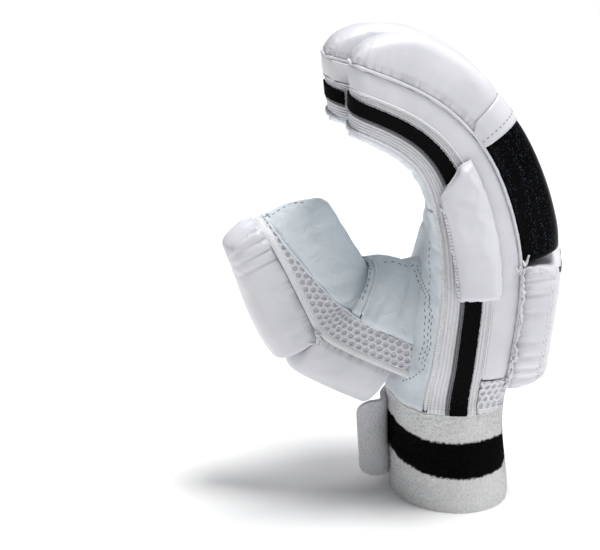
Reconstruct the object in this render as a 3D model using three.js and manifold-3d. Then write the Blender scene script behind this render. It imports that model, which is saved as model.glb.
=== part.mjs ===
// Cricket batting glove for a left hand, standing on its towelling cuff with the fingers curled.
// Millimetres. +Z is up, +X is the back of the hand, -X the palm, +Y the thumb side and -Y the
// little finger side. The origin is below the middle of the whole glove, on the surface it stands on.
//
// Every soft wall is a thick sheet laid out in glove coordinates:
//   along   distance up the back of the glove from the top of the cuff to the fingertips
//   across  distance from the middle of the hand, towards the index finger when positive
//   out     distance from the seam between side wall and finger roll, outwards when positive
// gloveSpace() bends those coordinates into the curled hand, so parts that are apart in them stay apart.
import * as THREE from 'three';
import Module from 'manifold-3d';

const wasm = await Module();
wasm.setup();

// Driving dimensions
const backLength = 250; // cuff top to the end of the little finger, along the back
const fingerPitch = 27.5; // width of one finger roll
const handDepth = 44; // side seam to palm, at the hand
const seamSetback = 18; // side seam behind the middle of the cuff
const clearance = 0.3; // between pieces that are sewn together
const fingerGap = 0.8; // between neighbouring fingers
const leatherWall = 1.8;
const facingWall = 2.0;
const tapeWall = 1.8;
const stripeWall = 0.9;
const backWall = 1.6;
const cuffHeight = 60;
const cuffDepth = 66;
const cuffWidth = 84;
const cuffWall = 4;
const rollHeight = 24; // padding over the fingers
const knuckleHeight = 22.5; // padding over the knuckles
const handPadHeight = 23.5; // padding over the back of the hand
const tipRadius = 12; // plan rounding of a fingertip
const meshHeight = 19; // mesh left bare above the cuff
const sideBarHeight = 9;
const strapHeight = 46;
const strapMiddle = 31; // height of the middle of the strap
const strapWall = 3;
const strapReach = 12; // free end of the strap, out from the cuff
const thumbLength = 128; // from inside the palm to the thumb tip, along the thumb's back seam
const thumbTipWidth = 35;
const thumbBaseWidth = 58;
const thumbPadHeight = 27;
const thumbDepth = 62; // thumb's back seam to the heel of the thumb, at the palm

// Shares of backLength at which things start and end
const webShare = 0.552; // fingers part
const jointShare = 0.668; // knuckle roll meets finger roll
const sliver = 0.05; // edges shorter than this are merged after a cut
const bendStep = 1; // length of one step along a bent line
const stationStep = 12.5; // the pieces along the glove share these stations, so neighbours bend alike
const fanReach = 17; // how much farther back the index finger stands than the little finger
const tipSlant = 0.36; // fingertip walls draw back by this share of their depth
const indexThinning = 0.3; // how much shallower the index side is than the little finger side

// Lean of the back seam towards the palm, in degrees, by share of backLength
const HAND_LEAN = [
  { share: 0, lean: -2 },
  { share: 0.18, lean: -4 },
  { share: 0.31, lean: 2 },
  { share: 0.4, lean: 12 },
  { share: 0.56, lean: 26 },
  { share: 0.72, lean: 49 },
  { share: 0.86, lean: 66 },
  { share: 1, lean: 71 },
];

// Sizes along the hand: pitch as a share of fingerPitch, depth and palm swell as shares of handDepth,
// knuckle arch as a share of fingerPitch, and how far the corners draw in as a share of the width
const HAND_SIZES = [
  { share: 0, pitch: 0.78, depth: 0.97, arch: 0.22, swell: 0.3, corner: 0.17 },
  { share: 0.12, pitch: 0.9, depth: 0.97, arch: 0.22, swell: 0.28, corner: 0.06 },
  { share: 0.34, pitch: 0.99, depth: 0.97, arch: 0.2, swell: 0.24, corner: 0.02 },
  { share: 0.55, pitch: 1, depth: 0.86, arch: 0.12, swell: 0.14, corner: 0.015 },
  { share: 0.75, pitch: 1, depth: 0.74, arch: 0.03, swell: 0.1, corner: 0.01 },
  { share: 1.1, pitch: 1.01, depth: 0.71, arch: 0, swell: 0.1, corner: 0.01 },
];

// Fingers from the thumb side: place in pitches across the hand, length as a share of backLength
// and how much of the curl beyond the knuckle roll each one has
const FINGERS = [
  { name: 'index', place: 1.5, length: 0.93, curl: 1.4 },
  { name: 'middle', place: 0.5, length: 0.98, curl: 1.25 },
  { name: 'ring', place: -0.5, length: 1.02, curl: 1.1 },
  { name: 'little', place: -1.5, length: 0.975, curl: 1 },
];

// Bottom ends of the knuckle rolls by place across the hand, as shares of backLength
const ROLL_FOOT = [
  { place: -2, share: 0.348 },
  { place: -1.5, share: 0.348 },
  { place: -1, share: 0.388 },
  { place: 0, share: 0.424 },
  { place: 1, share: 0.408 },
  { place: 2, share: 0.392 },
];

// Top edge of the hand pad and bottom edge of the index pad above it
const PAD_STEP = [
  { place: -2, share: 0.342 },
  { place: -1.5, share: 0.342 },
  { place: -1, share: 0.38 },
  { place: -0.72, share: 0.385 },
  { place: -0.45, share: 0.35 },
  { place: -0.2, share: 0.29 },
  { place: 0.1, share: 0.262 },
  { place: 2, share: 0.258 },
];

// Side wall bands as shares of the depth below the back seam
const facingFoot = 0.365;
const stripeTop = 0.5;
const stripeFoot = 0.72;

// Thumb: lean of its back seam, and half width, depth and gusset height as shares
const THUMB_LEAN = [
  { share: 0, lean: 66 },
  { share: 0.38, lean: 64 },
  { share: 0.47, lean: 45 },
  { share: 0.57, lean: 24 },
  { share: 1, lean: 28 },
];
const THUMB_SIZES = [
  { share: 0, width: 1, depth: 1, gusset: 0.27 },
  { share: 0.25, width: 0.86, depth: 0.86, gusset: 0.27 },
  { share: 0.45, width: 0.35, depth: 0.72, gusset: 0.3 },
  { share: 0.7, width: 0.1, depth: 0.66, gusset: 0.17 },
  { share: 0.93, width: 0, depth: 0.62, gusset: 0.07 },
  { share: 1, width: 0, depth: 0.5, gusset: 0.06 },
];
const thumbStart = { x: -24, y: 4, z: 75 };
const heelShare = 0.36; // where the heel of the thumb meets its leather front
const thumbTipRound = 15;
const thumbDrift = 14; // the thumb tip lies this much nearer the index finger than its root

const radians = Math.PI / 180;
const clamp = (value, low, high) => Math.min(high, Math.max(low, value));
const mix = (a, b, t) => a + (b - a) * t;
const range = (count) => Array.from({ length: count }, (_, i) => i);
const steps = (from, to, count) => range(count + 1).map((i) => mix(from, to, i / count));
// Shared stations between two distances along the glove, both ends kept
function stations(from, to) {
  const first = Math.ceil(from / stationStep);
  const inner = range(40).map((i) => (first + i) * stationStep);
  return [from, ...inner.filter((along) => along > from + 2 && along < to - 2), to];
}
const smooth = (value) => {
  const t = clamp(value, 0, 1);
  return t * t * (3 - 2 * t);
};

// A smooth line through the rows of a table: monotone cubic, flat past both ends
function lookUp(table, key, column, at) {
  const last = table.length - 1;
  if (at <= table[0][key]) return table[0][column];
  if (at >= table[last][key]) return table[last][column];
  const i = table.findIndex((row) => row[key] > at) - 1;
  const slope = (a) => {
    if (a <= 0 || a >= last) return 0;
    const before = (table[a][column] - table[a - 1][column]) / (table[a][key] - table[a - 1][key]);
    const after = (table[a + 1][column] - table[a][column]) / (table[a + 1][key] - table[a][key]);
    return before * after <= 0 ? 0 : (2 * before * after) / (before + after);
  };
  const span = table[i + 1][key] - table[i][key];
  const t = (at - table[i][key]) / span;
  const h00 = 2 * t ** 3 - 3 * t ** 2 + 1;
  const h10 = t ** 3 - 2 * t ** 2 + t;
  const h01 = 3 * t ** 2 - 2 * t ** 3;
  const h11 = t ** 3 - t ** 2;
  return (
    h00 * table[i][column] +
    h10 * span * slope(i) +
    h01 * table[i + 1][column] +
    h11 * span * slope(i + 1)
  );
}

// A bent line in the XZ plane from a table of leans: position and lean at any distance along it
function bentLine(start, length, table, curl = 1, curlFrom = 0) {
  const leanAt = (distance) => {
    const share = distance / length;
    const lean = lookUp(table, 'share', 'lean', share);
    const straight = lookUp(table, 'share', 'lean', Math.min(share, curlFrom));
    return (share > curlFrom ? straight + curl * (lean - straight) : lean) * radians;
  };
  const reach = Math.ceil((length * 1.25) / bendStep);
  const points = [{ x: start.x, z: start.z }];
  for (let i = 0; i < reach; i++) {
    const lean = leanAt((i + 0.5) * bendStep);
    const { x, z } = points[i];
    points.push({ x: x - Math.sin(lean) * bendStep, z: z + Math.cos(lean) * bendStep });
  }
  return (distance) => {
    const place = clamp(distance / bendStep, 0, reach - 1e-6);
    const i = Math.floor(place);
    const lean = leanAt(distance);
    const below = Math.min(distance, 0);
    return {
      x: mix(points[i].x, points[i + 1].x, place - i) - Math.sin(lean) * below,
      z: mix(points[i].z, points[i + 1].z, place - i) + Math.cos(lean) * below,
      lean,
    };
  };
}

const web = webShare * backLength;
const joint = jointShare * backLength;
const handStart = { x: seamSetback, z: cuffHeight + clearance };
const fingerLines = FINGERS.map((finger) =>
  bentLine(handStart, backLength, HAND_LEAN, finger.curl, jointShare),
);
const littleLine = fingerLines[3];

const size = (along, column) => lookUp(HAND_SIZES, 'share', column, along / backLength);
const pitchAt = (along) => fingerPitch * size(along, 'pitch');
const depthAt = (along) => handDepth * size(along, 'depth');
const halfWidthAt = (along) => 2 * pitchAt(along);

// The bend from glove coordinates to the real glove
function gloveSpace(line, along, across, out) {
  const half = halfWidthAt(along);
  const sideways = clamp(across / half, -1.15, 1.15);
  const level = clamp((2 * out) / depthAt(along) + 1, -1.3, 1);
  const arch = fingerPitch * size(along, 'arch') * (1 - sideways * sideways);
  const slant = tipSlant * Math.min(out, 0) * smooth((along - joint) / (backLength - joint));
  const indexward = (smooth(along / web) * (sideways + 1)) / 2;
  const fan = fanReach * indexward;
  const { x, z, lean } = line(along + slant);
  const height = arch + (out < 0 ? out * (1 - indexThinning * indexward) : out);
  return new THREE.Vector3(
    x + fan + height * Math.cos(lean),
    across * (1 - size(along, 'corner') * level * level),
    z + height * Math.sin(lean),
  );
}

// A closed mesh from an outer and an inner grid of points, [row][column]
// around: the columns close on themselves
function thickSheet(outer, inner, around = false) {
  const rows = outer.length;
  const columns = outer[0].length;
  const positions = [...outer.flat(), ...inner.flat()].flatMap((p) => [p.x, p.y, p.z]);
  const index = [];
  const at = (skin, row, column) => (skin * rows + row) * columns + (column % columns);
  const quad = (a, b, c, d) => index.push(a, b, c, a, c, d);
  const spans = around ? columns : columns - 1;
  for (let c = 0; c < spans; c++) {
    for (let r = 0; r < rows - 1; r++) {
      quad(at(0, r, c), at(0, r + 1, c), at(0, r + 1, c + 1), at(0, r, c + 1));
      quad(at(1, r, c), at(1, r, c + 1), at(1, r + 1, c + 1), at(1, r + 1, c));
    }
    const end = rows - 1;
    quad(at(0, 0, c), at(0, 0, c + 1), at(1, 0, c + 1), at(1, 0, c));
    quad(at(0, end, c), at(1, end, c), at(1, end, c + 1), at(0, end, c + 1));
  }
  for (let r = 0; r < rows - 1 && !around; r++) {
    const end = columns - 1;
    quad(at(0, r, 0), at(1, r, 0), at(1, r + 1, 0), at(0, r + 1, 0));
    quad(at(0, r, end), at(0, r + 1, end), at(1, r + 1, end), at(1, r, end));
  }
  return facingOut(new THREE.BufferGeometry(), positions, index);
}

// Fills a geometry, turning every face over if the mesh is inside out
function facingOut(geometry, positions, index) {
  let volume = 0;
  const corner = (i) => new THREE.Vector3().fromArray(positions, 3 * i);
  for (let i = 0; i < index.length; i += 3) {
    const [a, b, c] = [corner(index[i]), corner(index[i + 1]), corner(index[i + 2])];
    volume += a.dot(b.cross(c));
  }
  if (volume < 0) {
    for (let i = 0; i < index.length; i += 3) {
      [index[i], index[i + 1]] = [index[i + 1], index[i]];
    }
  }
  geometry.setAttribute('position', new THREE.Float32BufferAttribute(positions, 3));
  geometry.setIndex(index);
  geometry.computeVertexNormals();
  return geometry;
}

const toManifold = (geometry) =>
  new wasm.Manifold(
    new wasm.Mesh({
      numProp: 3,
      vertProperties: new Float32Array(geometry.attributes.position.array),
      triVerts: new Uint32Array(geometry.index.array),
    }),
  );

function fromManifold(solid) {
  const mesh = solid.simplify(sliver).getMesh();
  const positions = [];
  for (let i = 0; i < mesh.vertProperties.length; i += mesh.numProp) {
    positions.push(...mesh.vertProperties.slice(i, i + 3));
  }
  return facingOut(new THREE.BufferGeometry(), positions, [...mesh.triVerts]);
}

// The largest body of a cut solid, without the crumbs that a cut can leave
function mainBody(solid) {
  const bodies = solid.decompose();
  return bodies.reduce((best, body) => (body.volume() > best.volume() ? body : best));
}

const material = (color, roughness = 0.6) =>
  new THREE.MeshStandardMaterial({ color, roughness, metalness: 0 });
const whitePu = material('#eeeeef', 0.45);
const blackPu = material('#101012', 0.3);
const palmLeather = material('#cfd6da', 0.6);
const ribTape = material('#e6e6ea', 0.85);
const blackTape = material('#0b0b0b', 0.95);
const towelling = material('#e4e4e3', 0.98);
const meshCloth = material('#dcdce2', 0.85);
const strapCloth = material('#d4d4d6', 0.95);

const glove = new THREE.Group();
function piece(name, geometry, finish) {
  const mesh = new THREE.Mesh(geometry, finish);
  mesh.name = name;
  glove.add(mesh);
  return mesh;
}

// Half width of a finger at a distance along it, rounded off at its tip and drawn in by inset
function fingerHalf(tip, along, inset) {
  const half = (pitchAt(along) - fingerGap) / 2 - inset;
  const past = clamp((along - (tip - tipRadius)) / (tipRadius - inset), 0, 0.995);
  return half * (1 - past ** 2.6) ** (1 / 2.6);
}

// The plan outline of a finger wall: up one side, round the tip and down the other
// reach: how far round the tip it goes, in half turns, before it stops or runs down the other side
function fingerOutline(finger, tip, from, inset, upSide, { start = 0, reach = 1 } = {}) {
  const shoulder = tip - tipRadius;
  const half = (along) => (pitchAt(along) - fingerGap) / 2 - inset;
  const point = (along, side) => {
    const across = finger.place * pitchAt(along) + side * half(along);
    return { along, across };
  };
  const round = steps(start, reach, 8).filter((turn) => turn > 0 && turn < 1);
  return [
    ...(start > 0 ? [] : stations(from, shoulder).map((along) => point(along, upSide))),
    ...round.map((turn) => {
      const side = Math.cos(turn * Math.PI);
      const along = shoulder + (tipRadius - inset) * Math.sin(turn * Math.PI) ** 0.77;
      return point(along, upSide * Math.sign(side) * Math.abs(side) ** 0.77);
    }),
    ...(reach < 1 ? [] : stations(web, shoulder).reverse().map((along) => point(along, -upSide))),
  ];
}

// A wall that stands round a finger between two levels of its depth
function fingerWall(line, finger, tip, from, [top, foot], thickness, upSide) {
  const skin = (inset) =>
    fingerOutline(finger, tip, from, inset, upSide).map(({ along, across }) => {
      const depth = depthAt(along);
      const rows = [-clearance - top * depth, clearance - foot * depth];
      return rows.map((out) => gloveSpace(line, along, across, out));
    });
  return thickSheet(skin(0), skin(thickness));
}

// A cloth or leather skin over the width of one finger, up to its tip
function fingerSkin(line, finger, tip, level, thickness, inset) {
  const shoulder = tip - tipRadius;
  const round = [0.5, 0.8, 0.97].map((t) => shoulder + t * (tipRadius - inset));
  const skin = (raise) =>
    [...stations(web + clearance, shoulder), ...round].map((along) => {
      const half = fingerHalf(tip, along, inset);
      return steps(-1, 1, 3).map((side) => {
        const across = finger.place * pitchAt(along) + side * half;
        return gloveSpace(line, along, across, level(along, side) + raise);
      });
    });
  return thickSheet(skin(thickness), skin(0));
}

// A boxy half round from side -1 over the top to side 1, in steps that are finer at its corners
const domeRise = (side, roundness) => Math.max(0, 1 - Math.abs(side) ** roundness) ** (1 / roundness);
const domeSides = (count) => steps(0, 1, count).map((turn) => -Math.cos(Math.PI * turn));

// A stuffed pad over the back of the glove: flat below, boxy and rounded above
// rows of { t, height, squeeze }, side edges at t, and the place along the glove at t and across
function pillow(line, rows, sides, edges, place, roundness) {
  const skin = (lifted) =>
    rows.map((row) => {
      const [left, right] = edges(row.t);
      return sides.map((side) => {
        const across = (left + right + side * (right - left) * row.squeeze) / 2;
        const raised = lifted ? padEdge + domeRise(side, roundness) * (row.height - padEdge) : 0;
        return gloveSpace(line, place(row.t, across), across, padLevel + raised);
      });
    });
  return thickSheet(skin(true), skin(false));
}

const padLevel = backWall + clearance; // pads lie on the back of the glove
const padEdge = 0.8; // thickness of a pad at its sewn edge

// Wristband: a towelling tube that turns from an oval at its foot into the hand's own outline
const leatherLevel = (along, swell) => -depthAt(along) - clearance - leatherWall - swell;
function handOutline(along) {
  const half = halfWidthAt(along);
  const depth = depthAt(along);
  const swell = handDepth * size(along, 'swell');
  const at = (e, out) => gloveSpace(littleLine, along, e * half, out);
  const back = steps(-1, 1, 10).map((e) => at(e, backWall));
  const far = steps(0, 1, 6).map((t) => at(1, -t * depth));
  const front = steps(1, -1, 12).map((e) => at(e, leatherLevel(along, swell * (1 - Math.abs(e) ** 3))));
  const near = steps(1, 0, 6).map((t) => at(-1, -t * depth));
  return [...back, ...far.slice(1), ...front.slice(1), ...near.slice(1, -1)];
}

const cuffTop = handOutline(0);
const cuffCentre = new THREE.Vector2(-3, 0);
function reachToOutline(angle) {
  const ray = new THREE.Vector2(Math.cos(angle), Math.sin(angle));
  const hits = cuffTop.map((p, i) => {
    const q = cuffTop[(i + 1) % cuffTop.length];
    const corner = new THREE.Vector2(p.x, p.y).sub(cuffCentre);
    const edge = new THREE.Vector2(q.x - p.x, q.y - p.y);
    const cross = ray.cross(edge);
    const along = corner.cross(ray) / cross;
    return along >= -1e-9 && along <= 1 + 1e-9 ? corner.cross(edge) / cross : 0;
  });
  return Math.max(...hits);
}

// A point of the cuff's outer face at a height share, moved outwards by grow
function cuffPoint(angle, share, grow) {
  const ellipse = Math.hypot(Math.cos(angle) / (cuffDepth / 2), Math.sin(angle) / (cuffWidth / 2));
  const reach = mix(1 / ellipse, reachToOutline(angle), smooth(share)) + grow;
  return new THREE.Vector3(
    cuffCentre.x * smooth(share) + reach * Math.cos(angle),
    reach * Math.sin(angle),
    share * cuffHeight,
  );
}

function wristband() {
  const rows = [
    { share: 0, rolled: 1.3 },
    { share: 0.04, rolled: 0.3 },
    { share: 0.25, rolled: 0 },
    { share: 0.5, rolled: 0 },
    { share: 0.75, rolled: 0 },
    { share: 1, rolled: 0 },
  ];
  const skin = (side) =>
    rows.map(({ share, rolled }) =>
      range(24).map((c) => {
        const inset = side > 0 ? rolled : cuffWall - rolled;
        return cuffPoint((2 * Math.PI * c) / 24, share, -inset);
      }),
    );
  return thickSheet(skin(1), skin(-1), true);
}

// Hand: a mesh back that wraps on to the side walls at the wrist, and a leather palm
function backMesh() {
  const wrapTo = meshHeight - 0.8;
  const low = [0.6, 0.35 * meshHeight, 0.7 * meshHeight, wrapTo].map((along) => ({ along, wrap: 1 }));
  const high = stations(meshHeight, web - clearance).map((along) => ({ along, wrap: 0 }));
  const flat = 0.8;
  const skin = (raise) =>
    [...low, ...high].map(({ along, wrap }) => {
      const edge = halfWidthAt(along) - backWall + raise;
      const drop = wrap * (facingFoot * depthAt(along) - clearance);
      return steps(-1, 1, 10).map((e) => {
        const past = clamp((Math.abs(e) - flat) / (1 - flat), 0, 1);
        const across = clamp(e / flat, -1, 1) * edge;
        const out = raise * (1 - past) - past * (drop + 0.02);
        return gloveSpace(littleLine, along, across, Math.abs(e) > flat && !wrap ? raise - 0.02 * past : out);
      });
    });
  return thickSheet(skin(backWall), skin(0));
}

// The palm swells towards the thumb and parts into the fingers
function palmLevel(along, e) {
  const swell = handDepth * size(along, 'swell') * (1 - Math.abs(e) ** 3);
  const finger = (2 * e + 2) % 1;
  const ripple = 0.09 * handDepth * (1 - (2 * finger - 1) ** 2);
  return leatherLevel(along, mix(swell, ripple, smooth((along - web + 30) / 30)));
}

const palmStations = stations(0.6, web - clearance);
function palmSkin(raise, along, grow = 0) {
  return along.map((station) => {
    const half = halfWidthAt(station) - fingerGap / 2 + grow;
    return steps(-1, 1, 12).map((e) =>
      gloveSpace(littleLine, station, e * half, palmLevel(station, e) + raise),
    );
  });
}
const palmSheet = thickSheet(palmSkin(0, palmStations), palmSkin(leatherWall, palmStations));

// The space that the hand takes, a little larger than its walls, to trim the thumb against
const bodyStations = stations(-12, web + 25);
const handBody = thickSheet(
  palmSkin(-clearance, bodyStations, 2),
  bodyStations.map((along) => {
    const half = halfWidthAt(along) + 2;
    return steps(-1, 1, 12).map((e) => gloveSpace(littleLine, along, e * half, 0));
  }),
);

// Thumb: its own bent line, drifting sideways towards the index finger
const thumbLine = bentLine(thumbStart, thumbLength, THUMB_LEAN);
const thumbSize = (along, column) => lookUp(THUMB_SIZES, 'share', column, along / thumbLength);
const thumbHalf = (along) => mix(thumbTipWidth, thumbBaseWidth, thumbSize(along, 'width')) / 2;
function thumbSpace(along, side, out) {
  const { x, z, lean } = thumbLine(along);
  const drift = thumbStart.y + (thumbDrift * along) / thumbLength;
  return new THREE.Vector3(x + out * Math.cos(lean), drift + side, z + out * Math.sin(lean));
}

// Plan rounding of the thumb tip: half width left over at a distance along it
const thumbShoulder = thumbLength - thumbTipRound;
function thumbEnd(along, inset) {
  const past = clamp((along - thumbShoulder) / (thumbTipRound - inset), 0, 1);
  return (1 - Math.min(past, 0.9995) ** 2.5) ** (1 / 2.5);
}
const thumbAlong = (from, to, inset = 0) => {
  const shares = [0.4, 0.7, 0.9, 1];
  const round = to < thumbLength ? [] : shares.map((t) => thumbShoulder + t * (thumbTipRound - inset));
  const body = Math.min(to, thumbShoulder);
  return [...steps(from, body, Math.max(2, Math.round((body - from) / 9))), ...round];
};

// The ball of the thumb, from the near gusset seam over the leather to the far one
function thumbBall(from, to, inset) {
  return thumbAlong(from, to, inset).map((along) => {
    const end = thumbEnd(along, inset);
    const seam = thumbDepth * thumbSize(along, 'gusset');
    const depth = (thumbDepth * thumbSize(along, 'depth') - inset - seam) * mix(0.03, 1, end);
    const half = (thumbHalf(along) - inset) * end;
    return domeSides(10).map((side) =>
      thumbSpace(along, side * half, seam + clearance + domeRise(side, 2.5) * depth),
    );
  });
}

// A mesh band up the near side of the thumb, round its tip and down the far side
function thumbGusset(inset) {
  const row = (along, side) => {
    const seam = thumbDepth * thumbSize(along, 'gusset');
    return [clearance, seam].map((out) => thumbSpace(along, side, out));
  };
  const edge = (along) => (thumbHalf(along) - inset) * thumbEnd(along, inset);
  const up = thumbAlong(0, thumbLength, inset);
  return [...up.map((along) => row(along, -edge(along))), ...up.reverse().map((along) => row(along, edge(along)))];
}

// A stuffed pad on the back of the thumb between two shares of its length
function thumbPad(from, to, height, slack) {
  const rows = [0, 0.04, 0.12, 0.3, 0.5, 0.7, 0.86, 0.95, 1].map((t) => {
    const head = 1 - clamp((t - 0.8) / 0.2, 0, 1) ** 2.4;
    const foot = 1 - clamp((0.12 - t) / 0.12, 0, 1) ** 2.4;
    return { along: mix(from, to, t) * thumbLength, round: Math.max(0.05, head * foot) ** (1 / 2.4) };
  });
  const skin = (lifted) =>
    rows.map(({ along, round }) => {
      const half = (thumbHalf(along) + slack) * mix(0.84, 1, round);
      const tall = thumbPadHeight * height(along / thumbLength) * mix(0.35, 1, round);
      return domeSides(8).map((side) =>
        thumbSpace(along, side * half, -padLevel - (lifted ? padEdge + domeRise(side, 3) * tall : 0)),
      );
    });
  return thickSheet(skin(true), skin(false));
}

// Back of the thumb: a flat leather strip that the pads and the gusset are sewn to
function thumbBack(level) {
  return thumbAlong(0, thumbLength, -0.4).map((along) => {
    const half = (thumbHalf(along) + 0.4) * thumbEnd(along, -0.4);
    return steps(-1, 1, 4).map((side) => thumbSpace(along, side * half, level));
  });
}

function buildThumb() {
  const trim = toManifold(handBody);
  const trimmed = (geometry) => fromManifold(mainBody(toManifold(geometry).subtract(trim)));
  const heelTo = heelShare * thumbLength;
  const ball = (from, to) => thickSheet(thumbBall(from, to, 0), thumbBall(from, to, leatherWall));
  piece('thumb_heel', trimmed(ball(0, heelTo)), palmLeather);
  piece('thumb_front', ball(heelTo + 2 * clearance, thumbLength), palmLeather);
  piece('thumb_gusset', trimmed(thickSheet(thumbGusset(0), thumbGusset(tapeWall))), meshCloth);
  piece('thumb_back', trimmed(thickSheet(thumbBack(-backWall), thumbBack(0))), whitePu);
  piece('thumb_base_pad', thumbPad(0.14, 0.465, () => 0.92, -2), whitePu);
  piece('thumb_tip_pad', thumbPad(0.475, 1.01, (share) => mix(0.97, 0.8, smooth((share - 0.6) / 0.4)), 0), whitePu);
}

// The inside of the thumb's root, where the palm is left open
function thumbMouth() {
  const to = (heelShare + 0.1) * thumbLength;
  const lid = thumbBall(0, to, leatherWall + 1);
  const base = thumbAlong(0, to).map((along) => {
    const half = thumbHalf(along) - leatherWall - 1;
    return domeSides(10).map((side) => thumbSpace(along, side * half, 3));
  });
  return toManifold(thickSheet(lid, base));
}

const padFoot = 11.5;
piece('wristband', wristband(), towelling);
piece('back_mesh', backMesh(), meshCloth);
piece('palm', fromManifold(mainBody(toManifold(palmSheet).subtract(thumbMouth()))), palmLeather);
buildThumb();

const FINGER_ROLL = [0, 0.06, 0.2, 0.36, 0.52, 0.68, 0.82, 0.93, 1];
const KNUCKLE_ROLL = [0, 0.06, 0.2, 0.4, 0.6, 0.8, 0.94, 1];
const footAt = (table, across) => {
  const place = across / pitchAt(0.36 * backLength);
  return backLength * lookUp(table, 'place', 'share', place);
};

FINGERS.forEach((finger, i) => {
  const line = fingerLines[i];
  const tip = finger.length * backLength;
  const outer = i === 0 ? 1 : -1;
  const edge = i === 0 || i === 3;
  const facing = fingerWall(line, finger, tip, edge ? meshHeight + clearance : web, [0, facingFoot], facingWall, outer);
  piece(`side_facing_${finger.name}`, facing, whitePu);
  const tape = fingerWall(line, finger, tip - 0.5, edge ? 0.6 : web, [facingFoot, 1], tapeWall, outer);
  piece(`side_tape_${finger.name}`, tape, ribTape);
  const bulge = (along, side) => leatherLevel(along, 0.09 * handDepth * (1 - side * side));
  piece(`finger_front_${finger.name}`, fingerSkin(line, finger, tip - 0.5, bulge, leatherWall, 0.2), palmLeather);
  piece(`finger_back_${finger.name}`, fingerSkin(line, finger, tip, () => 0, backWall, 0), ribTape);

  const edges = (along) => {
    const half = (pitchAt(along) - fingerGap) / 2;
    return [finger.place * pitchAt(along) - half, finger.place * pitchAt(along) + half];
  };
  const tipPlace = (t) => mix(joint + 0.4, tip - 1.5, t);
  const rollRows = FINGER_ROLL.map((t) => {
    const head = Math.sqrt(Math.max(0.02, 1 - clamp((t - 0.5) / 0.5, 0, 1) ** 2));
    const nose = Math.max(0.03, 1 - clamp((t - 0.8) / 0.2, 0, 1) ** 2.5) ** (1 / 2.5);
    const foot = 1 - 0.25 * clamp((0.2 - t) / 0.2, 0, 1) ** 2.4;
    return { t, height: rollHeight * head * foot, squeeze: mix(0.66, 1, nose) };
  });
  const roll = pillow(line, rollRows, domeSides(8), (t) => edges(tipPlace(t)), tipPlace, 2.7);
  piece(`finger_roll_${finger.name}`, roll, whitePu);

  const knuckleRows = KNUCKLE_ROLL.map((t) => {
    const head = 1 - 0.3 * clamp((t - 0.8) / 0.2, 0, 1) ** 2.4;
    const foot = 1 - 0.12 * clamp((0.2 - t) / 0.2, 0, 1) ** 2.4;
    return { t, height: knuckleHeight * head * foot * mix(1, 0.93, t), squeeze: 1 };
  });
  const knucklePlace = (t, across) => mix(footAt(ROLL_FOOT, across) + 0.5, joint - 0.4, t);
  const middleOf = finger.place * fingerPitch;
  const knuckle = pillow(littleLine, knuckleRows, domeSides(8), (t) => edges(knucklePlace(t, middleOf)), knucklePlace, 2.9);
  piece(`knuckle_roll_${finger.name}`, knuckle, finger.name === 'little' ? blackPu : whitePu);
});

// Pads over the back of the hand, parted by a stepped seam
const HAND_PAD = [0, 0.03, 0.1, 0.25, 0.42, 0.58, 0.75, 0.9, 0.97, 1].map((t) => {
  const foot = 1 - 0.2 * clamp((0.1 - t) / 0.1, 0, 1) ** 2;
  const head = 1 - 0.15 * clamp((t - 0.9) / 0.1, 0, 1) ** 2;
  return { t, height: handPadHeight * foot * head, squeeze: 1 - 0.02 * (2 - foot - head) };
});
const HAND_SIDES = [-1, -0.98, -0.9, -0.72, -0.5, -0.37, -0.31, -0.22, -0.1, 0.05, 0.3, 0.6, 0.9, 0.98, 1];
const INDEX_SIDES = [-1, -0.97, -0.86, -0.68, -0.45, -0.06, 0.4, 0.86, 0.97, 1];
const handEdges = (t) => range(2).map((i) => (i - 0.5) * 4 * pitchAt(mix(padFoot, 0.36 * backLength, t)));
piece(
  'hand_pad',
  pillow(
    littleLine,
    HAND_PAD,
    HAND_SIDES,
    handEdges,
    (t, across) => mix(padFoot, footAt(PAD_STEP, across) - 0.7, t),
    4.5,
  ),
  whitePu,
);
piece(
  'index_pad',
  pillow(
    littleLine,
    HAND_PAD.filter((row, i) => i !== 4),
    INDEX_SIDES,
    () => [-0.62 * fingerPitch, 1.98 * fingerPitch],
    (t, across) => mix(footAt(PAD_STEP, across) + 0.7, footAt(ROLL_FOOT, across) - 0.5, t),
    3.6,
  ),
  whitePu,
);

// Side bar: a padded bar sewn over the side wall of the leading hand
const barFrom = 0.276 * backLength;
const barTo = 0.645 * backLength;
function sideBar(lifted) {
  return [0, 0.05, 0.15, 0.32, 0.5, 0.68, 0.85, 0.95, 1].map((t) => {
    const along = mix(barFrom, barTo, t);
    const end = clamp(Math.abs(t - 0.5) * 12 - 5, 0, 1);
    return domeSides(6).map((side) => {
      const out = depthAt(along) * mix(mix(-0.8, -0.92, t), -0.24, (side + 1) / 2);
      const dip = smooth((t - 0.7) / 0.3) * 0.16 * (barTo - barFrom) * ((1 - side) / 2);
      const lift = lifted ? padEdge + domeRise(side, 3) * (sideBarHeight - padEdge) * (1 - 0.4 * end ** 2) : 0;
      const across = -halfWidthAt(along) - stripeWall - clearance;
      return gloveSpace(littleLine, along - dip, across - lift, out);
    });
  });
}
piece('side_bar', thickSheet(sideBar(true), sideBar(false)), whitePu);

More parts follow.
